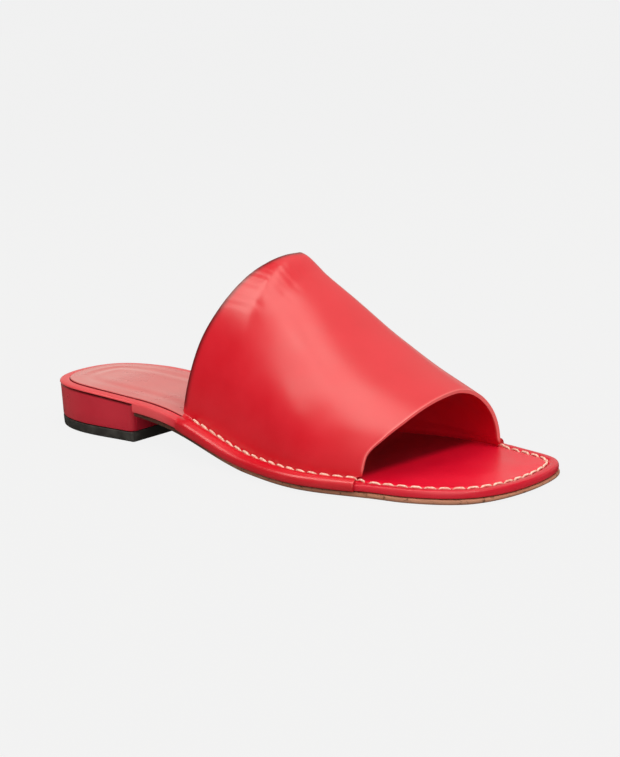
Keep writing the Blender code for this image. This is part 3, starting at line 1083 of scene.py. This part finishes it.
@dataclass
class Upper:
    """The leather band: arch over the foot, flange on the rim and wrap down to the outsole."""

    rows: int = 165
    foot_inset: float = 6.6
    flange_rise: float = GAP + WALL
    stitch_out: float = -5.45
    stitch_rise: float = 0.90
    pitch: float = 5.95
    slant: float = 0.34
    ridge_softness: float = 0.34
    foot_width: float = 5.9
    dip: float = 0.85
    dip_reach: float = 3.5
    skive_run: float = 7.0
    skive_in: float = 0.75
    skive_down: float = 0.95
    edge_run: float = 110.0

    # Section of the upper's foot from its hem to its crease: distance outside the rim, how
    # much of the drop to the hem, and height above the footbed.
    FOOT = Table(
        ("out", "drop", "rise"),
        (
            (0.90, 1.0, 0.12),
            (1.75, 1.0, 0.25),
            (2.15, 0.8, 0.35),
            (2.15, 0.3, 0.10),
            (1.90, 0.0, 0.10),
            (1.20, 0.0, 1.10),
            (0.00, 0.0, 1.72),
            (-1.60, 0.0, 1.95),
            (-3.40, 0.0, 1.75),
            (-4.80, 0.0, 1.05),
            (-5.50, 0.0, 0.72),
            (-6.10, 0.0, 0.95),
            (-6.35, 0.0, 1.35),
        ),
    )
    WRAP = {Side.LATERAL: (98.5, 202.0), Side.MEDIAL: (88.0, 213.5)}
    SEAM_FRONT = {Side.LATERAL: 202.0, Side.MEDIAL: 218.4}
    FOOT_STEPS = 40
    FIRST_ANGLE = 1.15
    DEGREE = 0.85  # length of one degree round the arch
    CREASES = (
        Crease(47.0, 1.0, 15.0, 0.05, 1.0, -0.12),
        Crease(50.5, 0.0, 19.0, 0.03, 0.9, -0.15),
        Crease(53.5, 1.5, 14.0, 0.00, 0.8, -0.11),
        Crease(57.0, 0.0, 22.0, 0.02, 1.0, -0.14),
        Crease(60.0, 2.0, 17.0, -0.02, 0.8, -0.10),
        Crease(63.0, 0.0, 24.0, 0.01, 1.0, -0.14),
        Crease(66.5, 1.0, 16.0, -0.04, 0.9, -0.13),
        Crease(70.0, 0.0, 20.0, -0.02, 1.1, -0.14),
        Crease(74.0, 2.0, 15.0, -0.05, 0.9, -0.10),
        Crease(79.0, 0.0, 18.0, -0.04, 1.1, -0.10),
        Crease(102.0, 0.0, 16.0, 0.03, 1.1, -0.12),
        Crease(109.0, 1.0, 20.0, 0.05, 1.4, -0.14),
        Crease(117.0, 0.0, 14.0, 0.02, 1.1, -0.10),
        # Broad waves of the leather over the foot.
        Crease(34.0, 26.0, 62.0, 0.10, 9.0, -0.22, 14.0),
        Crease(52.0, 34.0, 84.0, -0.06, 8.0, 0.20, 16.0),
        Crease(20.0, 40.0, 92.0, 0.04, 6.0, 0.18, 16.0),
        Crease(76.0, 20.0, 60.0, 0.05, 10.0, -0.18, 16.0),
        Crease(140.0, 30.0, 84.0, -0.05, 10.0, -0.22, 16.0),
        Crease(158.0, 44.0, 110.0, 0.03, 7.0, 0.18, 16.0),
    )

    def angles(self) -> np.ndarray:
        """Angles of the arch's lines round the foot, closer together near the flange."""
        steps = np.minimum(0.55 * 1.07 ** np.arange(100), 1.0)
        run = self.FIRST_ANGLE + np.concatenate([[0.0], np.cumsum(steps)])
        half = run[run < 90.0 - 0.8]
        return np.concatenate([half, [90.0], 180.0 - half[::-1]])

    def arch(self, angle: float, t: np.ndarray) -> np.ndarray:
        """Outer face of the arch, over the last.

        Args:
            angle: place round the foot, in degrees from the lateral side.
            t: places from the back edge, 0, to the front edge, 1.

        Returns:
            Points of x, along and z.
        """
        back, front = EDGES.read("back", angle), EDGES.read("front", angle)
        along = back + (front - back) * t
        side = Side.LATERAL if angle <= 90.0 else Side.MEDIAL
        square = LAST.read(side.value + "_square", along)
        line = RIM.line(side, -self.foot_inset)
        base = np.interp(along, line[:, 1], line[:, 0])
        ridge = LAST.read("ridge", along)
        turn = math.radians(angle)
        lean = abs(math.cos(turn)) ** (2.0 / square)
        x = ridge + (base - ridge) * lean
        if side is Side.MEDIAL:
            x -= LAST.read("swell", along) * math.sin(2.0 * turn)
        soft = self.ridge_softness**square
        bend = (lean**2 + self.ridge_softness**2) ** (square / 2.0) - soft
        bend = bend / ((1.0 + self.ridge_softness**2) ** (square / 2.0) - soft)
        rise = LAST.read("height", along) * (1.0 - np.minimum(bend, 1.0)) ** (1.0 / square)
        rise = rise - self.dip * np.exp(-rise / self.dip_reach)
        return np.stack([x, along, footbed(along) + self.flange_rise + rise], axis=-1)

    def foot(self, side: Side, t: np.ndarray) -> list[np.ndarray]:
        """Outer face of the foot of the upper, on the rim and down its side.

        Args:
            side: which side of the shoe.
            t: places from the back edge, 0, to the front edge, 1.

        Returns:
            Lines of points of x, along and z, from the hem to the crease.
        """
        crease = crease_ends(side)
        wrap = self.WRAP[side]
        lines = []
        for out, drop, rise in zip(*(self.FOOT.flow(name, self.FOOT_STEPS) for name in self.FOOT.columns)):
            share = min(1.0, max(0.0, (out + self.foot_width) / self.foot_width))
            start = crease[0] + (wrap[0] - crease[0]) * share
            end = crease[1] + (wrap[1] - crease[1]) * share
            along = start + (end - start) * t
            skived = 1.0 - smooth_step(along - start, 0.0, self.skive_run)
            place = RIM.at(side, along, out - skived * self.skive_in * smooth_step(out, 0.3, 1.6))
            rise = rise - drop * HEIGHTS.read("board", along)
            thinned = smooth_step(out, -self.foot_width, -4.6) * smooth_step(rise, -0.8, 1.4)
            rise = rise - skived * self.skive_down * thinned
            lines.append(np.column_stack([place, footbed(along) + rise]))
        return lines

    def face(self) -> np.ndarray:
        """Rows of points of the whole outer face, from the back edge to the front edge."""
        t = np.linspace(0.0, 1.0, self.rows + 1)
        arch = [self.arch(angle, t) for angle in self.angles()]
        lines = self.foot(Side.LATERAL, t) + arch + self.foot(Side.MEDIAL, t)[::-1]
        face = np.stack(lines, axis=1)
        return face + self.outward(face) * self.relief()[..., None]

    def outward(self, face: np.ndarray) -> np.ndarray:
        """Directions that point out of the face."""
        way = np.cross(np.gradient(face, axis=0), np.gradient(face, axis=1))
        way = way / np.linalg.norm(way, axis=-1)[..., None]
        middle = way[way.shape[0] // 2, way.shape[1] // 2]
        return way if middle[2] > 0.0 else -way

    def relief(self) -> np.ndarray:
        """Height of the creases and soft waves in the leather, over the whole face."""
        t = np.linspace(0.0, 1.0, self.rows + 1)
        foot = np.full(self.FOOT_STEPS + 1, -90.0)
        angle = np.concatenate([foot, self.angles(), foot])
        length = EDGES.read("front", angle) - EDGES.read("back", angle)
        behind = t[:, None] * length[None, :]
        height = np.zeros(behind.shape)
        for row in self.CREASES:
            drift = angle[None, :] - row.angle - row.lean * (behind - row.start)
            across = drift * self.DEGREE
            reach = smooth_step(behind, row.start - row.fade, row.start + row.fade)
            reach = reach * (1.0 - smooth_step(behind, row.end - row.fade, row.end + row.fade))
            height += row.height * bell(across, 0.0, row.width) * reach
        return height

    def seam(self, side: Side) -> Seam:
        """Row of stitches in the crease of one side, with a last one that steps down in front."""
        back, front = crease_ends(side)[0], self.SEAM_FRONT[side]
        along = np.linspace(back + 6.9, front - 0.4, 160)
        place = RIM.at(side, along, self.stitch_out)
        path = np.column_stack([place, footbed(along) + self.stitch_rise])
        outward = RIM.at(side, along, 1.0) - RIM.at(side, along, 0.0)
        up = np.column_stack([outward * 0.45, np.full(len(along), 0.89)])
        slant = -self.slant if side is Side.LATERAL else self.slant
        seam = Seam.along(side.value + "_stitches", path, up, self.pitch, slant)
        last = seam.stitches[-1]
        ahead = front + 2.9
        landing = np.array([*RIM.at(side, ahead, -4.9), footbed(ahead) - 0.25])
        step = Stitch(last.end, landing, np.array([0.0, 0.55, 0.83]))
        return Seam(seam.name, seam.stitches + (step,))

    def walls(self) -> np.ndarray:
        """Share of the full wall that each line of the face has: thin where it is pulled down."""
        runs = np.linspace(0.0, 1.0, self.FOOT_STEPS + 1)
        foot = 1.0 - 0.52 * smooth_step(runs, 0.80, 0.96)
        turn = np.minimum(self.angles(), 180.0 - self.angles())
        arch = 0.5 + 0.5 * smooth_step(turn, 1.0, 7.0)
        return np.concatenate([foot, arch, foot[::-1]])

    def build(self) -> list[Seam]:
        """Make the band and its two rows of stitches, and return the rows."""
        face = self.face()
        behind = np.linspace(0.0, self.edge_run, len(face))[:, None] * np.ones(face.shape[1])
        plain = np.zeros(self.FOOT_STEPS + 1)
        over_foot = smooth_step(np.sin(np.radians(self.angles())), 0.02, 0.1)
        arch = np.concatenate([plain, over_foot, plain])
        # Painted shade on the lower band of the foot, down the side of the wrap.
        hem_shade = 1.0 - smooth_step(np.linspace(0.0, 1.0, self.FOOT_STEPS + 1), 0.30, 0.44)
        hem_shade = np.concatenate([hem_shade, np.zeros(len(over_foot)), hem_shade[::-1]])
        upper = surface(
            "upper_leather",
            to_metres(face),
            wall=np.broadcast_to(self.walls(), face.shape[:2]),
            # The back edge is painted darker, and the lower band takes its painted shade.
            rub=np.maximum(0.95 * bell(behind, 0.0, 2.0) * arch, 0.24 * hem_shade),
            # Painted highlight along the front edge.
            worn=0.9 * bell(behind, self.edge_run, 0.55) * arch,
        )
        shape = to_millimetres(points_of(upper))
        seams = [self.seam(side) for side in Side]
        painted_shade = np.zeros(len(shape))
        for seam in seams:
            shape, pressed = seam.press(shape, 0.20, 0.50, 0.28)
            painted_shade = np.maximum(painted_shade, pressed)
        move_points(upper, to_metres(shape))
        # Painted shade in the stitch furrows and holes and on the lower band, with the darker back edge.
        paint(upper, "painted_shade", np.maximum(painted_shade, painted(upper, "rub")))
        weigh(upper, "wall", painted(upper, "wall"))
        self.turn_outward(upper)
        apply_modifier(
            upper, "SOLIDIFY", thickness=WALL * MM, offset=-1.0, use_even_offset=True,
            vertex_group="wall", use_rim=True, material_offset=1, material_offset_rim=2,
        )
        apply_modifier(
            upper, "BEVEL", width=0.42 * MM, segments=3, limit_method="ANGLE",
            angle_limit=math.radians(60.0), harden_normals=False,
        )
        shade(upper, 50.0)
        materials = [UPPER_LEATHER.material(), PAINTED_SHADE_LINING.material(), EDGE_LEATHER.material()]
        dress(upper, materials, "upper")
        return seams

    def turn_outward(self, piece: bpy.types.Object) -> None:
        """Turn the face's normals away from the foot."""
        face_outward(piece)
        highest = max(piece.data.polygons, key=lambda face: face.center.z)
        if highest.normal.z < 0.0:
            piece.data.flip_normals()


def sew(seams: list[Seam]) -> None:
    """Model each row of stitches in its thread."""
    thread = CREAM_THREAD.material()
    for seam in seams:
        dress(seam.build(), [thread])


@dataclass
class Sole:
    """Midsole with its rolled rim, insole, outsole, heel and top lift."""

    sock_inset: float = 5.0
    sock_thickness: float = 1.2
    sock_end: float = 152.0
    breast: float = 66.0
    breast_rake: float = 1.4
    corner: float = 3.0
    lift_height: float = 4.6
    seat_rim: float = 0.9
    seat_lip: float = 1.6
    seat_slope: float = 0.5
    seat_board: float = 2.3
    toe_stitch_out: float = -4.7
    pitch: float = 5.7
    # Where the painted shadow of the arch on the footbed ends, how it slants and how soft its edge is.
    shade_front: float = 197.0
    shade_slant: float = 0.1
    shade_blur: float = 4.0

    # Section of the midsole from its underside over the rim: distance outside the rim, how
    # much of the board's thickness below the footbed, and height.
    WRAP = Table(
        ("out", "drop", "rise"),
        (
            (-0.90, 1.0, 0.00),
            (-0.30, 1.0, 0.00),
            (0.06, 0.9, 0.10),
            (0.10, 0.5, 0.00),
            (0.00, 0.0, -0.85),
            (-0.35, 0.0, -0.12),
            (-1.10, 0.0, 0.02),
            (-2.00, 0.0, 0.00),
        ),
    )

    def rim_level(self, drop: float, rise: float) -> Level:
        """Level at a share of the board's thickness below the footbed, and a rise."""
        return lambda along: footbed(along) - drop * HEIGHTS.read("board", along) + rise

    def midsole_rings(self) -> tuple[Ring, ...]:
        """Rings of the midsole, from its underside up the rim and in over its top."""
        rings = []
        for out, drop, rise in zip(*(self.WRAP.flow(name, 24) for name in self.WRAP.columns)):
            rings.append(Ring(float(out), self.rim_level(drop, rise)))
        for out in np.concatenate([np.arange(-2.4, -8.3, -0.4), [-9.2, -10.4, -12.0]]):
            rings.append(Ring(float(out), footbed))
        return tuple(rings)

    def toe_relief(self, side: Side, out: float, along: np.ndarray) -> np.ndarray:
        """Raised roll outside the toe's stitches, and the crown of the rim toward the heel.

        Args:
            side: which side of the shoe.
            out: distance outside the rim.
            along: places along the shoe.

        Returns:
            The rise at each place.
        """
        front = 203.2 if side is Side.LATERAL else 218.6
        toe = smooth_step(along, front, front + 1.8)
        roll = 0.26 * bell(out, -2.1, 1.5) - 0.42 * bell(out, self.toe_stitch_out, 0.85)
        roll += 0.06 * bell(out, -6.4, 1.2)
        waist = 1.0 - smooth_step(along, 84.0, 90.0)
        crown = 0.16 * bell(out, -2.9, 1.4) - 0.30 * bell(out, -4.9, 0.35)
        return toe * roll + waist * crown

    def toe_seam(self) -> Seam:
        """Row of stitches round the toe, from the upper's lateral front to its medial front."""
        lateral = stretch(RIM.line(Side.LATERAL, self.toe_stitch_out), 204.6, math.inf)
        medial = stretch(RIM.line(Side.MEDIAL, self.toe_stitch_out), 217.4, math.inf)
        line = np.vstack([lateral, medial[-2::-1]])
        path = np.column_stack([line, footbed(line[:, 1]) - 0.30])
        up = np.tile([0.0, 0.0, 1.0], (len(path), 1))
        return Seam.along("toe_stitches", path, up, self.pitch, -0.16)

    def from_rim(self, place: np.ndarray) -> np.ndarray:
        """Distance of each point from the rim's outline, seen from above."""
        rim = np.vstack([RIM.line(side, 0.0)[::6] for side in Side])
        squares = (place[:, None, :2] - rim[None, :, :]) ** 2
        return np.sqrt(squares.sum(axis=2).min(axis=1))

    def stack(self, steps: tuple[tuple[float, float], ...], end: float) -> tuple[Ring, ...]:
        """Rings at steps of distance outside the rim and height above the footbed, up to an end."""
        return tuple(Ring(out, above(footbed, rise), end=end) for out, rise in steps)

    def build_midsole(self) -> Seam:
        """Make the wrapped midsole with its recess and seat, and return the toe's stitches."""
        layer = Layer("midsole_wrap", self.midsole_rings(), stations=420, across=24)
        midsole = layer.build(self.toe_relief)
        seam = self.toe_seam()
        shape, painted_shade = seam.press(to_millimetres(points_of(midsole)), 0.16, 0.50, 0.20)
        move_points(midsole, to_metres(shape))
        distance = self.from_rim(shape)
        # The roll round the rim is painted darker than the footbed, whose brighter base colour is painted
        # light.
        roll = 0.22 * (1.0 - smooth_step(distance, 3.4, 4.6))
        # Painted shadow of the arch on the footbed, which ends at a slanted line in front of it.
        shade_line = self.shade_front + self.shade_slant * (shape[:, 0] + 25.0)
        arch_shadow = 1.0 - smooth_step(shape[:, 1], shade_line - self.shade_blur, shade_line + self.shade_blur)
        arch_shadow = 0.8 * arch_shadow * smooth_step(shape[:, 1], 150.0, 176.0) * smooth_step(distance, 6.0, 8.0)
        # Painted shade in the toe's stitch holes, on the roll and in the arch's shadow.
        paint(midsole, "painted_shade", np.maximum(np.maximum(painted_shade, roll), arch_shadow))
        # Painted sheen, lighter toward the back of the rim.
        paint(midsole, "worn", 0.4 * (1.0 - smooth_step(shape[:, 1], 84.0, 104.0)))
        recess = self.stack(
            ((GAP - self.sock_inset, -self.sock_thickness - GAP), (GAP - self.sock_inset, 2.0)),
            self.sock_end + GAP,
        )
        seat = self.stack(
            (
                (5.0, -9.0),
                (5.0, -self.seat_rim),
                (-self.seat_lip, -self.seat_rim),
                (-self.seat_lip - self.seat_slope, -self.seat_board),
            ),
            self.breast + GAP,
        )
        cut_away(midsole, Layer("recess", recess, stations=240).build())
        cut_away(midsole, Layer("seat", seat).build())
        shade(midsole, 38.0)
        dress(midsole, [RIM_LEATHER.material()], "midsole")
        return seam

    def build_insole(self) -> None:
        """Make the sock that lies flush in the midsole."""
        edge = (
            (-0.3, -1.2), (0.0, -0.9), (0.0, -0.3), (0.0, 0.2), (-0.06, 0.42),
            (-0.2, 0.55), (-0.45, 0.6), (-1.0, 0.58), (-2.0, 0.55),
        )
        rings = self.stack(tuple((-self.sock_inset + out, rise) for out, rise in edge), self.sock_end)
        insole = Layer("insole_sock", rings, stations=260, across=20).build()
        place = to_millimetres(points_of(insole))
        rise = place[:, 2] - footbed(place[:, 1])
        # Painted shade on the sock's edge, in the groove round it.
        paint(insole, "painted_shade", 1.0 - smooth_step(rise, 0.30, 0.50))
        distance = self.from_rim(place)
        waves = sum(
            height * bell(distance, middle, width)
            for height, middle, width in ((0.10, 11.0, 1.6), (-0.16, 14.5, 2.4), (0.12, 19.0, 2.2))
        )
        place[:, 2] += np.where(rise > 0.45, waves, 0.0)
        move_points(insole, to_metres(place))
        shade(insole, 40.0)
        dress(insole, [SOCK_LEATHER.material()], "insole")

    def build_outsole(self) -> None:
        """Make the leather outsole, from the heel's breast to the toe."""

        def top(along: np.ndarray) -> np.ndarray:
            """Height of the outsole's top face above the floor."""
            return board_bottom(along) - GAP

        def level(share: float, rise: float) -> Level:
            """Level at a share of the outsole's thickness below its top, and a rise."""
            return lambda along: top(along) - share * HEIGHTS.read("outsole", along) + rise

        start = self.breast + GAP
        rings = tuple(
            Ring(out, level(share, rise), start=start, inset=True)
            for out, share, rise in (
                (-0.9, 1.0, 0.0), (-0.45, 1.0, 0.06), (-0.16, 1.0, 0.24), (-0.03, 1.0, 0.5),
                (0.0, 0.5, 0.0), (-0.02, 0.0, -0.55), (-0.12, 0.0, -0.3), (-0.35, 0.0, -0.1),
                (-0.8, 0.0, 0.0), (-2.0, 0.0, 0.0),
            )
        )
        outsole = Layer("outsole_leather", rings, stations=360, across=10).build()
        place = to_millimetres(points_of(outsole))
        along = place[:, 1]
        depth = (top(along) - place[:, 2]) / HEIGHTS.read("outsole", along)
        under_flange = 1.0 - smooth_step(along, 200.0, 206.0)
        # The edge is painted darker toward the waist.
        waist_dark = 0.9 * (1.0 - smooth_step(along, 106.0, 150.0))
        # Painted shadow under the wrap, along the top of the outsole.
        shadow = under_flange * 0.7 * (1.0 - smooth_step(depth, 0.05, 0.45))
        # The edge is painted darker toward its bottom.
        foot = 0.55 * smooth_step(depth, 0.40, 0.95)
        paint(outsole, "painted_shade", np.maximum(np.maximum(waist_dark, shadow), foot))
        shade(outsole, 45.0)
        dress(outsole, [SOLE_EDGE.material()], "outsole")

    def build_heel(self) -> None:
        """Make the covered heel block, with the channel that takes the midsole's seat."""
        foot = self.lift_height + GAP
        lip = -self.seat_rim - GAP
        low = self.breast - self.breast_rake
        feet = ((-1.75, 0.0, -0.3), (-1.45, 0.05, -0.1), (-1.15, 0.25, 0.0), (-1.0, 0.6, 0.0))
        heads = (
            (-0.5, -3.0, -0.3), (-0.38, -1.4, 0.0), (-0.46, -0.9, 0.0), (-0.72, -0.5, 0.0),
            (-1.15, -0.25, 0.0),
        )
        middle = above(lambda along: (foot + footbed(along)) / 2.0, -2.0)
        rings = [
            Ring(out, flat(foot + rise), end=low + ahead, corner=self.corner) for out, rise, ahead in feet
        ]
        rings.append(Ring(-0.78, middle, end=low + 0.3, corner=self.corner))
        for out, rise, ahead in heads:
            level = above(footbed, lip + rise)
            rings.append(Ring(out, level, end=self.breast + ahead, corner=self.corner))
        heel = Layer("heel_cover", tuple(rings), stations=110, across=6).build()
        inside = GAP - self.seat_lip
        channel = self.stack(
            ((inside - self.seat_slope, -self.seat_board - GAP), (inside, lip), (inside, 2.0)),
            self.breast + self.corner,
        )
        cut_away(heel, Layer("channel", channel).build())
        place = to_millimetres(points_of(heel))
        head = footbed(place[:, 1]) + lip - 0.25 - place[:, 2]
        # Painted shade in the groove under the midsole's rim.
        paint(heel, "painted_shade", 1.0 - smooth_step(head, 0.3, 1.1))
        # Painted sheen, lighter toward the back of the heel.
        paint(heel, "worn", 0.18 * (1.0 - smooth_step(place[:, 1], 8.0, 40.0)))
        shade(heel, 45.0)
        dress(heel, [HEEL_LEATHER.material()], "heel")

    def build_top_lift(self) -> None:
        """Make the rubber wear piece under the heel."""
        front = self.breast - self.breast_rake
        rings = tuple(
            Ring(out, flat(height), end=front + ahead, corner=1.0)
            for out, height, ahead in (
                (-2.0, 0.0, 0.1), (-1.6, 0.08, 0.25), (-1.35, 0.3, 0.3), (-1.25, 0.7, 0.3),
                (-1.1, 2.5, 0.15), (-1.0, 4.0, 0.0), (-1.05, 4.35, 0.0), (-1.2, 4.52, -0.1),
                (-1.5, 4.6, -0.3),
            )
        )
        lift = Layer("top_lift_rubber", rings, stations=110, across=6).build()
        shade(lift, 45.0)
        dress(lift, [LIFT_RUBBER.material()], "top_lift")

    def build(self) -> Seam:
        """Make every piece under the foot, and return the toe's row of stitches."""
        seam = self.build_midsole()
        self.build_insole()
        self.build_outsole()
        self.build_heel()
        self.build_top_lift()
        return seam


# Studio ---------------------------------------------------------------------------------------


@dataclass(frozen=True)
class SoftBox:
    """Rectangular light that faces the shoe."""

    name: str
    place: tuple[float, float, float]
    width: float
    length: float
    power: float
    aim: tuple[float, float, float] = (0.0, 0.0, 0.03)

    def build(self, colour: Colour) -> None:
        """Hang the light in a colour."""
        deselect_all()
        bpy.ops.object.light_add(type="AREA", location=self.place)
        lamp = bpy.context.active_object
        lamp.name = self.name
        lamp.data.shape = "RECTANGLE"
        lamp.data.size = self.width
        lamp.data.size_y = self.length
        lamp.data.energy = self.power
        lamp.data.color = colour
        way = Vector(self.aim) - Vector(self.place)
        lamp.rotation_mode = "QUATERNION"
        lamp.rotation_quaternion = way.to_track_quat("-Z", "Y")


@dataclass(frozen=True)
class Studio:
    """Pale floor, surrounding light, soft boxes and the camera."""

    pale: float = 0.877
    floor_pale: float = 0.896
    shadow_share: float = 0.03
    floor_albedo: float = 0.55
    mirrored_share: float = 0.10
    surround: float = 0.48
    glow_behind: float = 0.90
    warmth: Colour = (1.0, 0.97, 0.86)
    camera_place: tuple[float, float, float] = (-0.53495, -0.455, 0.1878)
    camera_right: tuple[float, float, float] = (0.6296, -0.7767, -0.0207)
    camera_up: tuple[float, float, float] = (0.1811, 0.1208, 0.9760)
    lens: float = 76.8

    def build_floor(self) -> None:
        """Lay a wide floor that looks even, takes a faint shadow and is dim in reflections."""
        deselect_all()
        bpy.ops.mesh.primitive_grid_add(x_subdivisions=8, y_subdivisions=8, size=60.0)
        floor = bpy.context.active_object
        floor.name = "floor"
        material = bpy.data.materials.new("pale_floor")
        material.use_nodes = True
        tree = material.node_tree
        tree.nodes.remove(tree.nodes["Principled BSDF"])
        bench = Bench(tree)
        rays = bench.add("LightPath")
        mirrored = bench.maths("MULTIPLY", rays.outputs["Is Glossy Ray"], 1.0 - self.mirrored_share)
        tone = bench.blend(mirrored, (self.floor_albedo,) * 3, (0.0, 0.0, 0.0))
        matt = bench.add("BsdfDiffuse", Color=tone)
        even = bench.add("Emission", Color=(self.floor_pale,) * 3, Strength=1.0)
        share = bench.maths("MULTIPLY", rays.outputs["Is Camera Ray"], 1.0 - self.shadow_share)
        mixed = bench.add("MixShader")
        bench.feed(mixed.inputs[0], share)
        bench.feed(mixed.inputs[1], matt.outputs[0])
        bench.feed(mixed.inputs[2], even.outputs[0])
        bench.feed(tree.nodes["Material Output"].inputs["Surface"], mixed.outputs[0])
        floor.data.materials.append(material)

    def build_world(self) -> None:
        """Surround the shoe with even light, which mirrors as dim in front, brighter behind."""
        world = bpy.data.worlds.new("studio")
        bpy.context.scene.world = world
        world.use_nodes = True
        tree = world.node_tree
        bench = Bench(tree)
        way = bench.add("SeparateXYZ", Vector=bench.add("TexCoord").outputs["Generated"])
        behind = bench.maths("ADD", bench.maths("MULTIPLY", way.outputs["X"], 0.8),
                             bench.maths("MULTIPLY", way.outputs["Y"], 0.35))
        low = bench.ranged(way.outputs["Z"], 0.12, 0.55, 1.0, 0.0)
        glow = bench.maths("MULTIPLY", bench.ranged(behind, 0.2, 0.9, 0.02, self.glow_behind), low)
        rays = bench.add("LightPath")
        strength = self.choose(bench, rays.outputs["Is Glossy Ray"], self.surround, glow)
        strength = self.choose(bench, rays.outputs["Is Camera Ray"], strength, self.pale)
        shader = tree.nodes["Background"]
        tint = bench.blend(rays.outputs["Is Camera Ray"], self.warmth, (1.0, 1.0, 1.0))
        bench.feed(shader.inputs["Color"], tint)
        bench.feed(shader.inputs["Strength"], strength)

    def choose(
        self, bench: Bench, asked: bpy.types.NodeSocket, no: object, yes: object
    ) -> bpy.types.NodeSocket:
        """One of two values, by whether a ray is of the kind asked for."""
        node = bench.add("Mix", {"data_type": "FLOAT"})
        for socket, value in zip((node.inputs[0], node.inputs[2], node.inputs[3]), (asked, no, yes)):
            bench.feed(socket, value)
        return node.outputs[0]

    def build_lights(self) -> None:
        """Hang the soft boxes."""
        boxes = (
            SoftBox("heel_box", (-0.42, 0.64, 1.24), 0.46, 0.90, 5.0),
            SoftBox("overhead_box", (-0.22, -0.06, 1.38), 0.50, 1.10, 4.5),
            SoftBox("toe_box", (-0.10, -0.80, 1.10), 0.60, 0.60, 4.8),
            SoftBox("far_box", (1.05, 0.25, 1.30), 1.40, 1.50, 4.3),
            SoftBox("side_box", (-1.00, -0.75, 0.75), 1.30, 1.30, 7.0),
        )
        for box in boxes:
            box.build(self.warmth)

    def build_camera(self) -> None:
        """Set the camera at the front of the shoe's lateral side, low above the floor."""
        deselect_all()
        bpy.ops.object.camera_add(location=self.camera_place)
        camera = bpy.context.active_object
        camera.name = "viewpoint"
        camera.data.lens = self.lens
        right, up = Vector(self.camera_right).normalized(), Vector(self.camera_up).normalized()
        axes = Matrix((right, up, right.cross(up))).transposed()
        camera.rotation_mode = "QUATERNION"
        camera.rotation_quaternion = axes.to_quaternion()
        bpy.context.scene.camera = camera

    def build(self) -> None:
        """Set up the whole studio."""
        self.build_floor()
        self.build_world()
        self.build_lights()
        self.build_camera()
        bpy.context.scene.view_settings.view_transform = "Standard"


def main() -> None:
    """Build the mule piece by piece, then its studio."""
    logging.basicConfig(level=logging.INFO, format="%(message)s")
    seams = Upper().build()
    seams.append(Sole().build())
    sew(seams)
    Studio().build()


if __name__ == "__main__":
    main()
